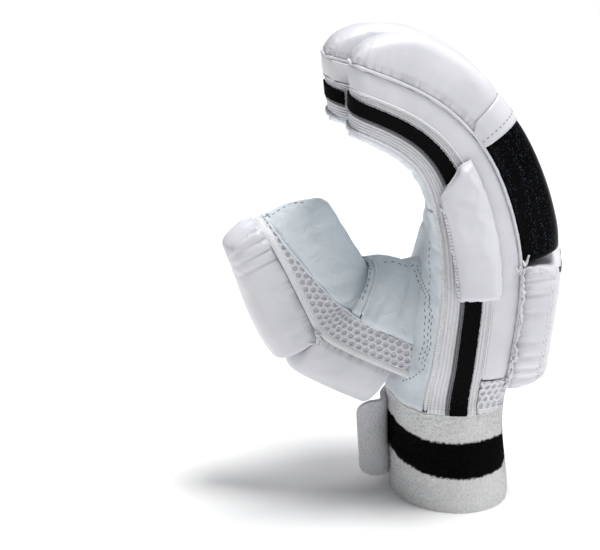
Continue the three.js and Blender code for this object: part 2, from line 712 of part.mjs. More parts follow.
// Black woven stripe on the side tapes: along the two outer walls and round every fingertip
function stripe(name, finger, outline) {
  const i = FINGERS.indexOf(finger);
  const skin = (outset) =>
    outline(-outset).map(({ along, across }) =>
      [stripeTop, stripeFoot].map((share) => gloveSpace(fingerLines[i], along, across, -share * depthAt(along))),
    );
  piece(name, thickSheet(skin(clearance + stripeWall), skin(clearance)), blackTape);
}
FINGERS.forEach((finger, i) => {
  const tip = finger.length * backLength - 0.5;
  const edge = i === 0 || i === 3;
  const from = i === 3 ? barTo - 10 : 0.6;
  const around = { start: edge ? 0 : 0.2, reach: 0.8 };
  const upSide = i === 0 ? 1 : -1;
  stripe(`tape_stripe_${finger.name}`, finger, (inset) => fingerOutline(finger, tip, from, inset, upSide, around));
});
stripe('tape_stripe_wrist', FINGERS[3], (inset) =>
  stations(0.6, barFrom + 8).map((along) => {
    const half = (pitchAt(along) - fingerGap) / 2 - inset;
    return { along, across: -1.5 * pitchAt(along) - half };
  }),
);

// Wrist strap: hugs the cuff on the thumb side, then leaves it on the palm side
function wristStrap(grow) {
  const low = strapMiddle - strapHeight / 2;
  const hug = steps(80, 160, 8).map((turn) => {
    const angle = turn * radians;
    return steps(0, 1, 4).map((t) => cuffPoint(angle, (low + t * strapHeight) / cuffHeight, 0.5 + grow));
  });
  const leave = steps(0, 1, 6).slice(1).map((t) => {
    const tall = Math.sqrt(1 - 0.9 * clamp((t - 0.3) / 0.7, 0, 1) ** 2.2);
    return hug[hug.length - 1].map((from, i) => {
      const x = from.x - 4 * t - strapReach * t * t;
      const y = from.y - 12 * t + 9 * t * t + grow * t * 0.6;
      return new THREE.Vector3(x, y, strapMiddle + (i / 4 - 0.5) * strapHeight * tall);
    });
  });
  return [...hug, ...leave];
}
piece('wrist_strap', thickSheet(wristStrap(strapWall), wristStrap(0)), strapCloth);

// The origin lies under the middle of the glove, on the surface that it stands on
const bounds = new THREE.Box3().setFromObject(glove);
const middle = bounds.getCenter(new THREE.Vector3());
const placed = new THREE.Group();
glove.position.set(-middle.x, -middle.y, -bounds.min.z);
placed.add(glove);

export default placed;
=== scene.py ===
# %% [markdown]
# # Dressing a cricket batting glove
# The imported model gives the glove's true walls and pads. This lesson lays finer cloth, leather and
# stuffing over each of them.

# %% Load the plain glove
import math
import bpy
import bmesh
from mathutils import Matrix, Vector, noise
from mathutils.bvhtree import BVHTree
from mathutils.kdtree import KDTree


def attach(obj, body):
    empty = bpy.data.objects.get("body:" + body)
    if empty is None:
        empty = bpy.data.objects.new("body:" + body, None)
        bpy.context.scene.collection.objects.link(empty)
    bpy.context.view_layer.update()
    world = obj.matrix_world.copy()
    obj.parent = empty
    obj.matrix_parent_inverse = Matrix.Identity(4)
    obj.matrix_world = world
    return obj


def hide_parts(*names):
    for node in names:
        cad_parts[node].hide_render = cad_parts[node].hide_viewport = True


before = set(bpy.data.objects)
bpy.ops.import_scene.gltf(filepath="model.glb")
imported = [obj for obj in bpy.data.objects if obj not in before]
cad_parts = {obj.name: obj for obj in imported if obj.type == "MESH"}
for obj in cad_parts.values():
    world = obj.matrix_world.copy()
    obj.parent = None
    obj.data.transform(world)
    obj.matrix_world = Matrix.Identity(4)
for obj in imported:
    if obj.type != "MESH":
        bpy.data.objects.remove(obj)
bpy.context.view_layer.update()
print("plain glove:", len(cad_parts), "pieces")

# %% [markdown]
# ## Glove coordinates
# A glove is easiest to cut in its own coordinates: how far up the back from the cuff, how far across
# towards the index finger, and how far out from the side seam. A bend then carries each point to
# where the curled hand holds it. The tables repeat those of the plain model, in millimetres, so the
# dressed pieces land on it with no fitting.

# %% Sizes of the glove, in millimetres
MM = 0.001
FROM_CUFF = Vector((33.842, 4.607, 0))  # the part's origin, seen from below the cuff's middle
BACK = 250
PITCH = 27.5
DEPTH = 44
SETBACK = 18
GAP = 0.3
FINGER_GAP = 0.8
LEATHER, FACING, TAPE, STRIPE, MESH = 1.8, 2.0, 1.8, 0.9, 1.6
CUFF_HIGH, CUFF_DEEP, CUFF_WIDE, CUFF_WALL = 60, 66, 84, 4
ROLL_HIGH, KNUCKLE_HIGH, PAD_HIGH = 24, 22.5, 23.5
TIP_ROUND = 12
MESH_BARE = 19
WEB, JOINT = 0.552 * BACK, 0.668 * BACK
PAD_LEVEL = MESH + GAP
PAD_EDGE = 0.8
FACING_FOOT = 0.365
THUMB_LONG, THUMB_DEEP = 128, 62
HEEL_TO = 0.36 * THUMB_LONG
BAR_FROM, BAR_TO = 0.276 * BACK, 0.645 * BACK
FOOT = 0.6  # how far above the cuff's seam the leather begins
STRIPE_SPAN, GREY_SPAN = (0.5, 0.72), (0.72, 0.79)  # shares of the side wall, from the back to the palm
ROUND_CUFF, LOOPS_HIGH = 236, 58  # how far it is round the cuff, and how high its loops reach
STRAP_LONG, STRAP_WIDE, STRAP_MIDDLE, STRAP_OFF = 95, 46, 31, 3.5  # the last: off the cuff's middle layer
FINGERS = [("index", 1.5, 0.93, 1.4), ("middle", 0.5, 0.98, 1.25), ("ring", -0.5, 1.02, 1.1),
           ("little", -1.5, 0.975, 1.0)]  # name, place in pitches, length as a share of BACK, curl
print("fingers:", ", ".join(name for name, *_ in FINGERS))

# %% Smooth lines through tables
def clamp(value, low, high):
    return low if value < low else high if value > high else value


def mix(a, b, t):
    return a + (b - a) * t


def smooth(value):
    t = clamp(value, 0.0, 1.0)
    return t * t * (3 - 2 * t)


def through(table, column=1):
    """A smooth line through the rows of a table, flat past both ends."""
    at, values = [row[0] for row in table], [row[column] for row in table]
    last = len(at) - 1
    grade = [(values[i + 1] - values[i]) / (at[i + 1] - at[i]) for i in range(last)]
    slope = [0.0] * (last + 1)
    for i in range(1, last):
        before, after = grade[i - 1], grade[i]
        slope[i] = 0.0 if before * after <= 0 else 2 * before * after / (before + after)

    def line(x):
        if x <= at[0]:
            return values[0]
        if x >= at[last]:
            return values[last]
        i = next(k for k in range(last) if at[k + 1] > x)
        span = at[i + 1] - at[i]
        t = (x - at[i]) / span
        return ((2 * t**3 - 3 * t**2 + 1) * values[i] + (t**3 - 2 * t**2 + t) * span * slope[i]
                + (3 * t**2 - 2 * t**3) * values[i + 1] + (t**3 - t**2) * span * slope[i + 1])
    return line


def quick_line(line, low, high, step):
    """The same line read off a ladder of ready values, because it is asked for half a million times."""
    count = int((high - low) / step) + 2
    ladder = [line(low + i * step) for i in range(count)]

    def at(x):
        place = clamp((x - low) / step, 0.0, count - 1.001)
        i = int(place)
        return ladder[i] + (ladder[i + 1] - ladder[i]) * (place - i)
    return at


def bent_line(start, length, lean_line, curl=1.0, curl_from=0.0):
    """A line that leans more and more: place and lean at any distance along it."""
    def lean_at(distance):
        share = distance / length
        lean, straight = lean_line(share), lean_line(min(share, curl_from))
        return math.radians(straight + curl * (lean - straight) if share > curl_from else lean)
    points = [start]
    for i in range(int(length * 1.25) + 1):
        lean = lean_at(i + 0.5)
        points.append((points[-1][0] - math.sin(lean), points[-1][1] + math.cos(lean)))
    leans = [lean_at(i) for i in range(len(points))]

    def at(distance):
        place = clamp(distance, 0.0, len(points) - 1.001)
        i = int(place)
        part, below = place - i, min(distance, 0.0)
        lean = mix(leans[i], leans[i + 1], part)
        return (mix(points[i][0], points[i + 1][0], part) - math.sin(lean) * below,
                mix(points[i][1], points[i + 1][1], part) + math.cos(lean) * below, lean)
    return at


HAND_LEAN = through([(0, -2), (0.18, -4), (0.31, 2), (0.4, 12), (0.56, 26), (0.72, 49), (0.86, 66), (1, 71)])
finger_lines = [bent_line((SETBACK, CUFF_HIGH + GAP), BACK, HAND_LEAN, curl, 0.668)
                for _, _, _, curl in FINGERS]
little_line = finger_lines[3]
print("fingertip stands at", [round(v, 1) for v in little_line(0.975 * BACK)[:2]])

# %% [markdown]
# ## From glove coordinates to the curled hand
# The same bend as in the plain model. Knuckles arch, the index side is thinner and stands farther
# back, and the fingertips draw back on their palm side. Everything returned is in metres.

# %% The bend
HAND_SIZES = [(0, .78, .97, .22, .3, .17), (.12, .9, .97, .22, .28, .06), (.34, .99, .97, .2, .24, .02),
              (.55, 1, .86, .12, .14, .015), (.75, 1, .74, .03, .1, .01), (1.1, 1.01, .71, 0, .1, .01)]
pitch_share, depth_share, arch_share, swell_share, corner_share = (
    quick_line(through(HAND_SIZES, column), -0.1, 1.2, 0.002) for column in range(1, 6))


def pitch_at(along):
    return PITCH * pitch_share(along / BACK)


def depth_at(along):
    return DEPTH * depth_share(along / BACK)


def half_width(along):
    return 2 * pitch_at(along)


def glove_space(line, along, across, out):
    sideways = clamp(across / half_width(along), -1.15, 1.15)
    level = clamp(2 * out / depth_at(along) + 1, -1.3, 1.0)
    arch = PITCH * arch_share(along / BACK) * (1 - sideways * sideways)
    slant = 0.36 * min(out, 0) * smooth((along - JOINT) / (BACK - JOINT))
    indexward = smooth(along / WEB) * (sideways + 1) / 2
    x, z, lean = line(along + slant)
    height = arch + (out * (1 - 0.3 * indexward) if out < 0 else out)
    return (Vector((x + 17 * indexward + height * math.cos(lean),
                    across * (1 - corner_share(along / BACK) * level * level),
                    z + height * math.sin(lean))) + FROM_CUFF) * MM


def leather_level(along, swell):
    return -depth_at(along) - GAP - LEATHER - swell


def palm_level(along, e):
    swell = DEPTH * swell_share(along / BACK) * (1 - abs(e) ** 3)
    finger = (2 * e + 2) % 1
    ripple = 0.09 * DEPTH * (1 - (2 * finger - 1) ** 2)
    return leather_level(along, mix(swell, ripple, smooth((along - WEB + 30) / 30)))


THUMB_LEAN = through([(0, 66), (.38, 64), (.47, 45), (.57, 24), (1, 28)])
THUMB_SIZES = [(0, 1, 1, .27), (.25, .86, .86, .27), (.45, .35, .72, .3),
               (.7, .1, .66, .17), (.93, 0, .62, .07), (1, 0, .5, .06)]
thumb_line = bent_line((-24, 75), THUMB_LONG, THUMB_LEAN)
thumb_width, thumb_depth, thumb_seam = (
    quick_line(through(THUMB_SIZES, column), -0.1, 1.2, 0.002) for column in range(1, 4))


def thumb_half(along):
    return mix(35, 58, thumb_width(along / THUMB_LONG)) / 2


def thumb_shift(along):
    return 4 + 14 * along / THUMB_LONG


def thumb_space(along, side, out):
    x, z, lean = thumb_line(along)
    spot = Vector((x + out * math.cos(lean), thumb_shift(along) + side, z + out * math.sin(lean)))
    return (spot + FROM_CUFF) * MM


print("palm stands", round(-palm_level(60, 0), 1), "mm from the back seam")

# %% [markdown]
# The cuff is an oval at its foot and takes the hand's own outline at its top, so the distance from
# its middle to the outline is read once for each of 180 directions.

# %% The cuff's outline
def hand_outline():
    def at(e, out):
        return glove_space(little_line, 0, e * half_width(0), out) / MM - FROM_CUFF
    deep, swell = depth_at(0), DEPTH * swell_share(0)
    loop = [at(i / 5 - 1, MESH) for i in range(11)] + [at(1, -i / 6 * deep) for i in range(1, 7)]
    loop += [at(1 - i / 6, leather_level(0, swell * (1 - abs(1 - i / 6) ** 3))) for i in range(1, 13)]
    return loop + [at(-1, -i / 6 * deep) for i in range(5, 0, -1)]


def reach_of(loop, angle):
    ray, best = Vector((math.cos(angle), math.sin(angle))), 0.0
    for i, p in enumerate(loop):
        q = loop[(i + 1) % len(loop)]
        corner, edge = Vector((p.x + 3, p.y)), Vector((q.x - p.x, q.y - p.y))
        cross = ray.x * edge.y - ray.y * edge.x
        if abs(cross) > 1e-9:
            along = (corner.x * ray.y - corner.y * ray.x) / cross
            if -1e-9 <= along <= 1 + 1e-9:
                best = max(best, (corner.x * edge.y - corner.y * edge.x) / cross)
    return best


outline = hand_outline()
top_reach = [reach_of(outline, math.radians(2 * i)) for i in range(181)]


def cuff_point(angle, share, grow):
    """A point of the cuff's outer face, moved outwards by grow."""
    place = (math.degrees(angle) % 360) / 2
    i = int(place) % 180
    top = mix(top_reach[i], top_reach[i + 1], place - int(place))
    oval = 1 / math.hypot(math.cos(angle) / (CUFF_DEEP / 2), math.sin(angle) / (CUFF_WIDE / 2))
    reach = mix(oval, top, smooth(share)) + grow
    spot = Vector((-3 * smooth(share) + reach * math.cos(angle), reach * math.sin(angle), share * CUFF_HIGH))
    return (spot + FROM_CUFF) * MM


print("cuff top reaches", round(max(top_reach), 1), "mm from its middle")

# %% [markdown]
# ## Camera
# The photograph was read as a camera about a metre away, 0.4 m above the cuff's foot, on the little
# finger side, with a lens of about 109 mm. It comes first, so that each piece can be judged through it.

# %% Camera
TURN, TILT = math.radians(13.037), math.radians(15.2555)
looking = Vector((math.sin(TURN) * math.cos(TILT), math.cos(TURN) * math.cos(TILT), -math.sin(TILT)))
camera = bpy.data.objects.new("glove_camera", bpy.data.cameras.new("glove_camera"))
camera.location = Vector((-275.175, -946.450, 400)) * MM
camera.rotation_euler = looking.to_track_quat("-Z", "Y").to_euler()
camera.data.lens, camera.data.sensor_width = 109.08, 36
camera.data.clip_end = 20
bpy.context.scene.collection.objects.link(camera)
bpy.context.scene.camera = camera
print("camera at", tuple(round(v, 3) for v in camera.location))

# %% [markdown]
# ## Light
# A white glove on white paper needs a bright, broad lamp nearly overhead. It stands a little in front,
# so that it grazes the near walls and the folds show in them. A soft lamp behind and a weak one at the
# right lift the shadows. The plain "Standard" view keeps white paper white.

# %% Light
def lamp(name, kind, place, aim, power, **settings):
    light = bpy.data.lights.new(name, kind)
    light.energy = power
    for key, value in settings.items():
        setattr(light, key, value)
    holder = bpy.data.objects.new(name, light)
    holder.location = place
    holder.rotation_euler = (Vector(aim) - Vector(place)).to_track_quat("-Z", "Y").to_euler()
    bpy.context.scene.collection.objects.link(holder)


lamp("ceiling", "SUN", (0.45, -0.42, 2.4), (0, 0, 0), 2.85, angle=math.radians(20))
lamp("overhead", "AREA", (0.35, 0.3, 1.3), (0, 0, 0.12), 6, shape="DISK", size=0.7)
lamp("right", "AREA", (1.2, -0.6, 0.7), (0, 0, 0.16), 0.8, shape="DISK", size=0.5)
sky = bpy.data.worlds.new("studio")
bpy.context.scene.world = sky
sky.use_nodes = True
sky.node_tree.nodes["Background"].inputs["Color"].default_value = (0.97, 0.985, 1.0, 1)
sky.node_tree.nodes["Background"].inputs["Strength"].default_value = 0.22
bpy.context.scene.view_settings.view_transform = "Standard"

# %% [markdown]
# ## Finishes
# Each finish is a Principled shader with its own pattern. One helper adds a node with its settings and
# links. Colours are written as hex values, which are sRGB, and turned to linear once.

# %% Helpers for finishes
def linear(hex_colour):
    values = [int(hex_colour[i:i + 2], 16) / 255 for i in (1, 3, 5)]
    return tuple(v / 12.92 if v <= 0.04045 else ((v + 0.055) / 1.055) ** 2.4 for v in values) + (1.0,)


def add(tree, kind, settings=None, inputs=None, output=0):
    """Adds a node and returns one output. An input is given a value, or an output to link from."""
    new = tree.nodes.new(kind)
    for key, value in (settings or {}).items():
        setattr(new, key, value)
    for key, value in (inputs or {}).items():
        if isinstance(value, bpy.types.NodeSocket):
            tree.links.new(value, new.inputs[key])
        else:
            new.inputs[key].default_value = value
    return new.outputs[output]


def clouds(tree, place, scale, detail, distortion=0.0):
    return add(tree, "ShaderNodeTexNoise", {},
               {"Vector": place, "Scale": scale, "Detail": detail, "Distortion": distortion})


def cells(tree, place, size, inputs=None, **settings):
    return add(tree, "ShaderNodeTexVoronoi", settings, {"Vector": place, "Scale": 1 / size, **(inputs or {})})


def times_plus(tree, value, times, plus=0.0):
    return add(tree, "ShaderNodeMath", {"operation": "MULTIPLY_ADD"}, {0: value, 1: times, 2: plus})


def stretch(tree, value, low, high, to_low=0.0, to_high=1.0):
    return add(tree, "ShaderNodeMapRange", {"interpolation_type": "SMOOTHSTEP"},
               {0: value, 1: low, 2: high, 3: to_low, 4: to_high})


def blend(tree, amount, first, second):
    return add(tree, "ShaderNodeMix", {"data_type": "RGBA"}, {0: amount, 6: first, 7: second}, 2)


def two_tone(tree, amount, dark, light):
    return blend(tree, amount, linear(dark), linear(light))


def bumps(tree, strength, distance, height, under=None, invert=False):
    inputs = {"Strength": strength, "Distance": distance, "Height": height}
    if under is not None:
        inputs["Normal"] = under
    return add(tree, "ShaderNodeBump", {"invert": invert}, inputs)


def finish(name, **shader):
    """A new material: its tree, its shader's inputs, and its object and cut coordinates."""
    made = bpy.data.materials.new(name)
    made.use_nodes = True
    tree = made.node_tree
    inputs = tree.nodes["Principled BSDF"].inputs
    for key, value in shader.items():
        inputs[key.replace("_", " ").title().replace("Ior", "IOR")].default_value = value
    where = tree.nodes.new("ShaderNodeTexCoord").outputs
    return made, tree, inputs, where["Object"], where["UV"]


print("white is", tuple(round(v, 3) for v in linear("#eeeef0")[:3]))

# %% [markdown]
# The pads are polyurethane coated leather, pressed with a fine grain. A smooth grain gives a broad,
# soft sheen; faint wider creases break it up. Cells of 0.9 mm are a little coarser than life, so that
# they show at all. The attribute "seam" is 1 on a sewn edge, darkened there by dust and painted shade.
# On the black panel painted glints stand in for its sparkle: a light spot in some cells of a pattern 0.8 mm wide.

# %% White coated leather
def coated_leather(name, light, dark, seam_tone, roughness, grain_depth, specular=0.5, painted_glint_tone=None):
    made, tree, shader, place, _ = finish(name, roughness=roughness, ior=1.5, specular_ior_level=specular)
    grain = cells(tree, place, 0.0009, feature="SMOOTH_F1")
    cloud, speck = clouds(tree, place, 38, 3), clouds(tree, place, 900, 2)
    seam = add(tree, "ShaderNodeAttribute", {"attribute_name": "seam"}, output="Fac")
    # Sewn edges are darkened towards the seam colour: partly dust, partly painted shade.
    seam_dust_and_painted_shade = times_plus(tree, seam, stretch(tree, speck, 0.25, 0.7, 0.35, 0.9))
    colour = blend(tree, seam_dust_and_painted_shade, two_tone(tree, stretch(tree, cloud, 0.3, 0.7), dark, light), linear(seam_tone))
    if painted_glint_tone:
        # Painted glints: light specks in some cells stand in for highlights off the glossy film.
        spot = cells(tree, place, 0.0008)
        some = stretch(tree, spot.node.outputs["Color"], 0.45, 0.75)
        amount = times_plus(tree, stretch(tree, spot, 0.22, 0.36, 1.0, 0.0), some)
        colour = blend(tree, amount, colour, linear(painted_glint_tone))
    tree.links.new(colour, shader["Base Color"])
    tree.links.new(times_plus(tree, cloud, 0.12, roughness - 0.06), shader["Roughness"])
    crease = bumps(tree, 0.22, 0.0006, clouds(tree, place, 260, 4, 0.6))
    tree.links.new(bumps(tree, grain_depth, 0.0003, grain, crease), shader["Normal"])
    return made


white_leather = coated_leather("white_coated_leather", "#e4e4e8", "#dbdbe1", "#bcbdc5", 0.38, 0.12)
print("finish:", white_leather.name)

# %% [markdown]
# The black panel is the same leather with a glossy film. Its film is deep black and thin, so it throws
# back little light; light flecks painted into its colour stand in for its glints, as painted highlights.

# %% Black glossy leather
# The last colour is for the painted glints, light specks that stand in for highlights.
black_leather = coated_leather("black_glossy_leather", "#060608", "#030304", "#101013", 0.3, 0.4, 0.04,
                               "#434b5d")
print("finish:", black_leather.name)

# %% [markdown]
# Palm and finger fronts are sheepskin, tanned soft and left with a short nap: pale blue grey, matt,
# with fine wandering creases and small pores.

# %% Sheepskin
def sheepskin_finish(name, light, dark):
    made, tree, shader, place, _ = finish(name, roughness=0.66, ior=1.45, sheen_weight=0.15)
    pores = cells(tree, place, 0.0014, feature="DISTANCE_TO_EDGE")
    patches = stretch(tree, clouds(tree, place, 30, 4, 0.5), 0.3, 0.7)
    tree.links.new(two_tone(tree, patches, dark, light), shader["Base Color"])
    folds = bumps(tree, 0.6, 0.0013, clouds(tree, place, 140, 6, 1.2))
    tree.links.new(bumps(tree, 0.2, 0.0003, pores, folds), shader["Normal"])
    return made


sheepskin = sheepskin_finish("sheepskin_nap", "#e8eff4", "#dae2e8")
print("finish:", sheepskin.name)

# %% [markdown]
# The elastic tapes are woven: cords run along the tape one to two millimetres apart, with a finer rib
# across them. Both come from sine waves on the cut coordinates, in metres along and across the tape.

# %% Woven tapes
def woven_tape(name, light, dark, cord, rib, depth, roughness=0.85, sheen=0.2, specular=0.5):
    made, tree, shader, place, flat = finish(name, roughness=roughness, ior=1.4, sheen_weight=sheen,
                                             specular_ior_level=specular)
    cut = add(tree, "ShaderNodeSeparateXYZ", {}, {0: flat}).node.outputs

    def wave(axis, size):
        turns = times_plus(tree, cut[axis], 2 * math.pi / size)
        return times_plus(tree, add(tree, "ShaderNodeMath", {"operation": "SINE"}, {0: turns}), 0.5, 0.5)
    weave = times_plus(tree, wave(0, rib), 0.4, wave(1, cord))
    yarn = times_plus(tree, clouds(tree, place, 700, 3), 0.8, weave)
    # The colour follows the weave's relief: the grooves are darker, painted shade, and the noise adds the yarn's
    # random tone.
    tree.links.new(two_tone(tree, stretch(tree, yarn, 0.3, 1.5), dark, light), shader["Base Color"])
    tree.links.new(bumps(tree, 0.7, depth, yarn), shader["Normal"])
    return made


rib_tape = woven_tape("white_elastic_tape", "#eeeef1", "#cfcfd6", 0.0019, 0.0011, 0.0005)
black_tape = woven_tape("black_knitted_tape", "#0c0c0e", "#020203", 0.0013, 0.0017, 0.0005, 1.0, 0.0, 0.15)
grey_tape = woven_tape("grey_edge_tape", "#84858b", "#55565c", 0.0015, 0.0011, 0.0004)
binding_tape = woven_tape("white_binding_tape", "#f2f2f4", "#dfdfe3", 0.0012, 0.0009, 0.0002)
cut_edge = woven_tape("raw_cut_edge", "#f0f0f1", "#d3d4d8", 0.0016, 0.0013, 0.0006, 0.9)
print("finishes:", rib_tape.name, black_tape.name, grey_tape.name, binding_tape.name, cut_edge.name)

# %% [markdown]
# The back and the thumb's side are knitted air mesh: white strands round open six-sided cells, over a
# slightly darker lilac grey cloth. The strands are real geometry; this is the backing and the yarn.

# %% Air mesh
backing = woven_tape("mesh_backing_cloth", "#e3e2e9", "#d0cfd9", 0.0011, 0.0011, 0.0004, 0.95)
strands = woven_tape("white_mesh_yarn", "#f4f4f6", "#dedee4", 0.0009, 0.0007, 0.0003, 0.8)
back_cloth = woven_tape("white_lining_cloth", "#e9e9ec", "#d6d6dc", 0.0013, 0.0013, 0.0003, 0.9)
print("finishes:", backing.name, strands.name, back_cloth.name)

# %% [markdown]
# The cuff is cotton towelling: a forest of loops, matt, white above and below a black band. The
# attribute "band" is 1 on the black yarn. The strap has a pressed nap, a little greyer.

# %% Towelling and nap
def towel_finish(name, light, dark, band_light, band_dark, tuft):
    made, tree, shader, place, _ = finish(name, roughness=1.0, ior=1.35, specular_ior_level=0.2)
    tufts = cells(tree, place, tuft, {"Smoothness": 0.6}, feature="SMOOTH_F1")
    height = times_plus(tree, clouds(tree, place, 1400, 3), 0.5, tufts)
    band = add(tree, "ShaderNodeAttribute", {"attribute_name": "band"}, output="Fac")
    # Both tones follow the loops' relief: low places between the loops are darker, painted shade; the noise adds
    # random yarn tone.
    white, black = two_tone(tree, height, light, dark), two_tone(tree, height, band_light, band_dark)
    colour = blend(tree, band, white, black)
    tree.links.new(colour, shader["Base Color"])
    tree.links.new(bumps(tree, 0.6, 0.0006, height, invert=True), shader["Normal"])
    return made


towelling = towel_finish("cotton_towelling", "#f6f6f5", "#dededf", "#070708", "#020202", 0.0014)
nap = towel_finish("strap_nap", "#ececee", "#cdcdd2", "#141417", "#050506", 0.0011)
print("finishes:", towelling.name, nap.name)

# %% [markdown]
# Sewing thread is twisted polyester: a slight gloss and a fine twist.

# %% Thread
grey_thread = woven_tape("grey_sewing_thread", "#70757c", "#4a4f56", 0.0006, 0.0006, 0.0001, 0.5)
white_thread = woven_tape("white_sewing_thread", "#f4f4f4", "#dcdce0", 0.0006, 0.0006, 0.0001, 0.5)
print("finishes:", grey_thread.name, white_thread.name)

# %% [markdown]
# ## Laying a sheet
# Most of the glove is cut cloth or leather. A sheet starts as a flat grid from an operator; each of
# its points is then moved to its place on the glove. `place(u, v, lift)` gives that place, with lift
# in millimetres outwards, which also tells which way is out. `relief(u, v)` adds creases along the
# surface's own normals. The UV map keeps the cut in metres, so a weave has its real size anywhere.

# %% Sheets
def flat_grid(bm, columns, rows):
    """A flat grid, and where each of its points lies, from 0 to 1 both ways."""
    made = bmesh.ops.create_grid(bm, x_segments=columns, y_segments=rows, size=0.5)["verts"]
    return {vert: (vert.co.x + 0.5, vert.co.y + 0.5) for vert in made}


def at_size(flat, cut):
    """Tells where a point of a flat grid lies on its cut sheet, in metres."""
    return lambda vert: (flat[vert][0] * cut[0] * MM, flat[vert][1] * cut[1] * MM)


def mark_cut(faces, cut_map, place):
    for face in faces:
        for corner in face.loops:
            corner[cut_map].uv = place(corner.vert)


def lay(columns, rows, place, cut, relief=None, around=False):
    bm = bmesh.new()
    cut_map = bm.loops.layers.uv.new("cut")
    flat = flat_grid(bm, columns, rows)
    mark_cut(bm.faces, cut_map, at_size(flat, cut))
    middle = min(flat, key=lambda vert: abs(flat[vert][0] - 0.37) + abs(flat[vert][1] - 0.37))
    for vert, (u, v) in flat.items():
        vert.co = place(u, v, 0.0)
    bm.normal_update()
    if middle.normal.dot(place(*flat[middle], 1.0) - place(*flat[middle], 0.0)) < 0:
        bmesh.ops.reverse_faces(bm, faces=bm.faces)
        bm.normal_update()
    if relief:
        for vert, step in [(vert, vert.normal * relief(u, v) * MM) for vert, (u, v) in flat.items()]:
            vert.co += step
    if around:
        bmesh.ops.remove_doubles(bm, verts=bm.verts, dist=2e-6)
    return bm


pieces = {}


def sew_on(name, bm, material, slot, stands_for=(), wall=0.0, rounding=0):
    """Makes the finished piece: its mesh, wall, finish, place in the model and the node it stands for."""
    mesh = bpy.data.meshes.new(name)
    bm.to_mesh(mesh)
    bm.free()
    mesh.shade_smooth()
    made = bpy.data.objects.new(name, mesh)
    bpy.context.scene.collection.objects.link(made)
    mesh.materials.append(material)
    if wall:
        thick = made.modifiers.new("wall", "SOLIDIFY")
        thick.thickness, thick.offset, thick.use_even_offset = wall * MM, -1.0, False
    if rounding:
        soft = made.modifiers.new("rounding", "SUBSURF")
        soft.levels = soft.render_levels = rounding
    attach(made, "root")
    if stands_for:
        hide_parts(*([stands_for] if isinstance(stands_for, str) else stands_for))
    pieces[name] = made
    return made


def cloth(made):
    """Measures the size that a sheet was cut to, on its own mesh, and returns nothing."""
    mesh = made.data
    points = [tuple(corner.uv) for corner in mesh.uv_layers[0].data]
    wide, long = (max(p[i] for p in points) - min(p[i] for p in points) for i in (0, 1))
    if min(wide, long) < 0.012:
        return  # a narrow trim, not a sheet


def ripple(run, size, seed):
    """Uneven waves along a seam, from -1 to 1."""
    slow, quick = Vector((run / size, seed, 0.3)), Vector((run / size * 2.3, seed + 7, 0.9))
    return noise.noise(slow) * 1.3 + noise.noise(quick) * 0.6


print("helpers ready")

# %% [markdown]
# ## Seams
# Three kinds of seam finish the glove. A bead is the rolled edge of two leathers sewn together, made
# as a thin uneven tube along a path. A frill is a raw seam allowance left standing, a narrow ribbon
# with a wavy edge. Stitches are short lengths of thread, one every three to four mm, pressed on to
# the surface under them by asking a finished piece for its nearest point.

# %% Beads, frills and stitches
def bead(name, path, radius, rings, material, slot, uneven=0.25, hint=(0, -1, 0), seed=1.0):
    long = sum((path((i + 1) / 40) - path(i / 40)).length for i in range(40)) / MM

    def spot(u, v, lift):
        here = path(v)
        way = (path(min(v + 0.004, 1)) - path(max(v - 0.004, 0))).normalized()
        one = (Vector(hint) - way * way.dot(Vector(hint))).normalized()
        two = way.cross(one)
        thick = radius * (1 + uneven * ripple(v * long, 3.1, seed))
        thick *= math.sqrt(clamp(min(v, 1 - v) / 0.006, 0, 1))
        turn = 2 * math.pi * u
        sway = uneven * 0.9 * radius * ripple(v * long, 5.0, seed + 4)
        return here + ((one * math.cos(turn) + two * math.sin(turn)) * (thick + lift) + two * sway) * MM
    bm = lay(8, rings, spot, (2 * math.pi * radius, long), around=True)
    return sew_on(name, bm, material, slot)


def skin_of(made):
    mesh = made.data
    points = [vert.co.copy() for vert in mesh.vertices]
    return BVHTree.FromPolygons(points, [tuple(face.vertices) for face in mesh.polygons])


def stitch_row(name, on, paths, material, slot, length=2.5, gap=1.5, thick=0.3):
    """Stitches along paths, each a list of points near the pieces that they are sewn through."""
    skins = [skin_of(made) for made in on]
    bm = bmesh.new()
    count = 0
    for path in paths:
        marks = [0.0]
        for a, b in zip(path, path[1:]):
            marks.append(marks[-1] + (b - a).length / MM)
        for i in range(int(marks[-1] / (length + gap))):
            middle = (i + 0.5) * (length + gap)
            k = next(k for k in range(len(marks) - 1) if marks[k + 1] >= middle)
            t = (middle - marks[k]) / (marks[k + 1] - marks[k])
            spot, way = path[k].lerp(path[k + 1], t), (path[k + 1] - path[k]).normalized()
            near, normal = min((skin.find_nearest(spot)[:2] for skin in skins),
                               key=lambda found: (found[0] - spot).length)
            if (near - spot).length > 0.012:
                continue
            way = (way - normal * way.dot(normal)).normalized()
            turned = Matrix((way, normal.cross(way), normal)).transposed().to_4x4()
            sizes = Matrix.Diagonal((length / 2 * MM, thick * MM, thick * 0.8 * MM, 1))
            place = Matrix.Translation(near + normal * 0.12 * MM) @ turned @ sizes
            bmesh.ops.create_uvsphere(bm, u_segments=6, v_segments=4, radius=1, matrix=place)
            count += 1
    bmesh.ops.recalc_face_normals(bm, faces=bm.faces)
    mark_cut(bm.faces, bm.loops.layers.uv.new("cut"), lambda vert: (vert.co.x + vert.co.y, vert.co.z))
    print(name, count, "stitches")
    return sew_on(name, bm, material, slot)

# %% [markdown]
# ## Runs round a finger
# A finger's walls run up one side, round the tip and down the other. The run is measured along that
# outline, so a tape keeps its rib spacing round the bend. An offset to its side is a lift.

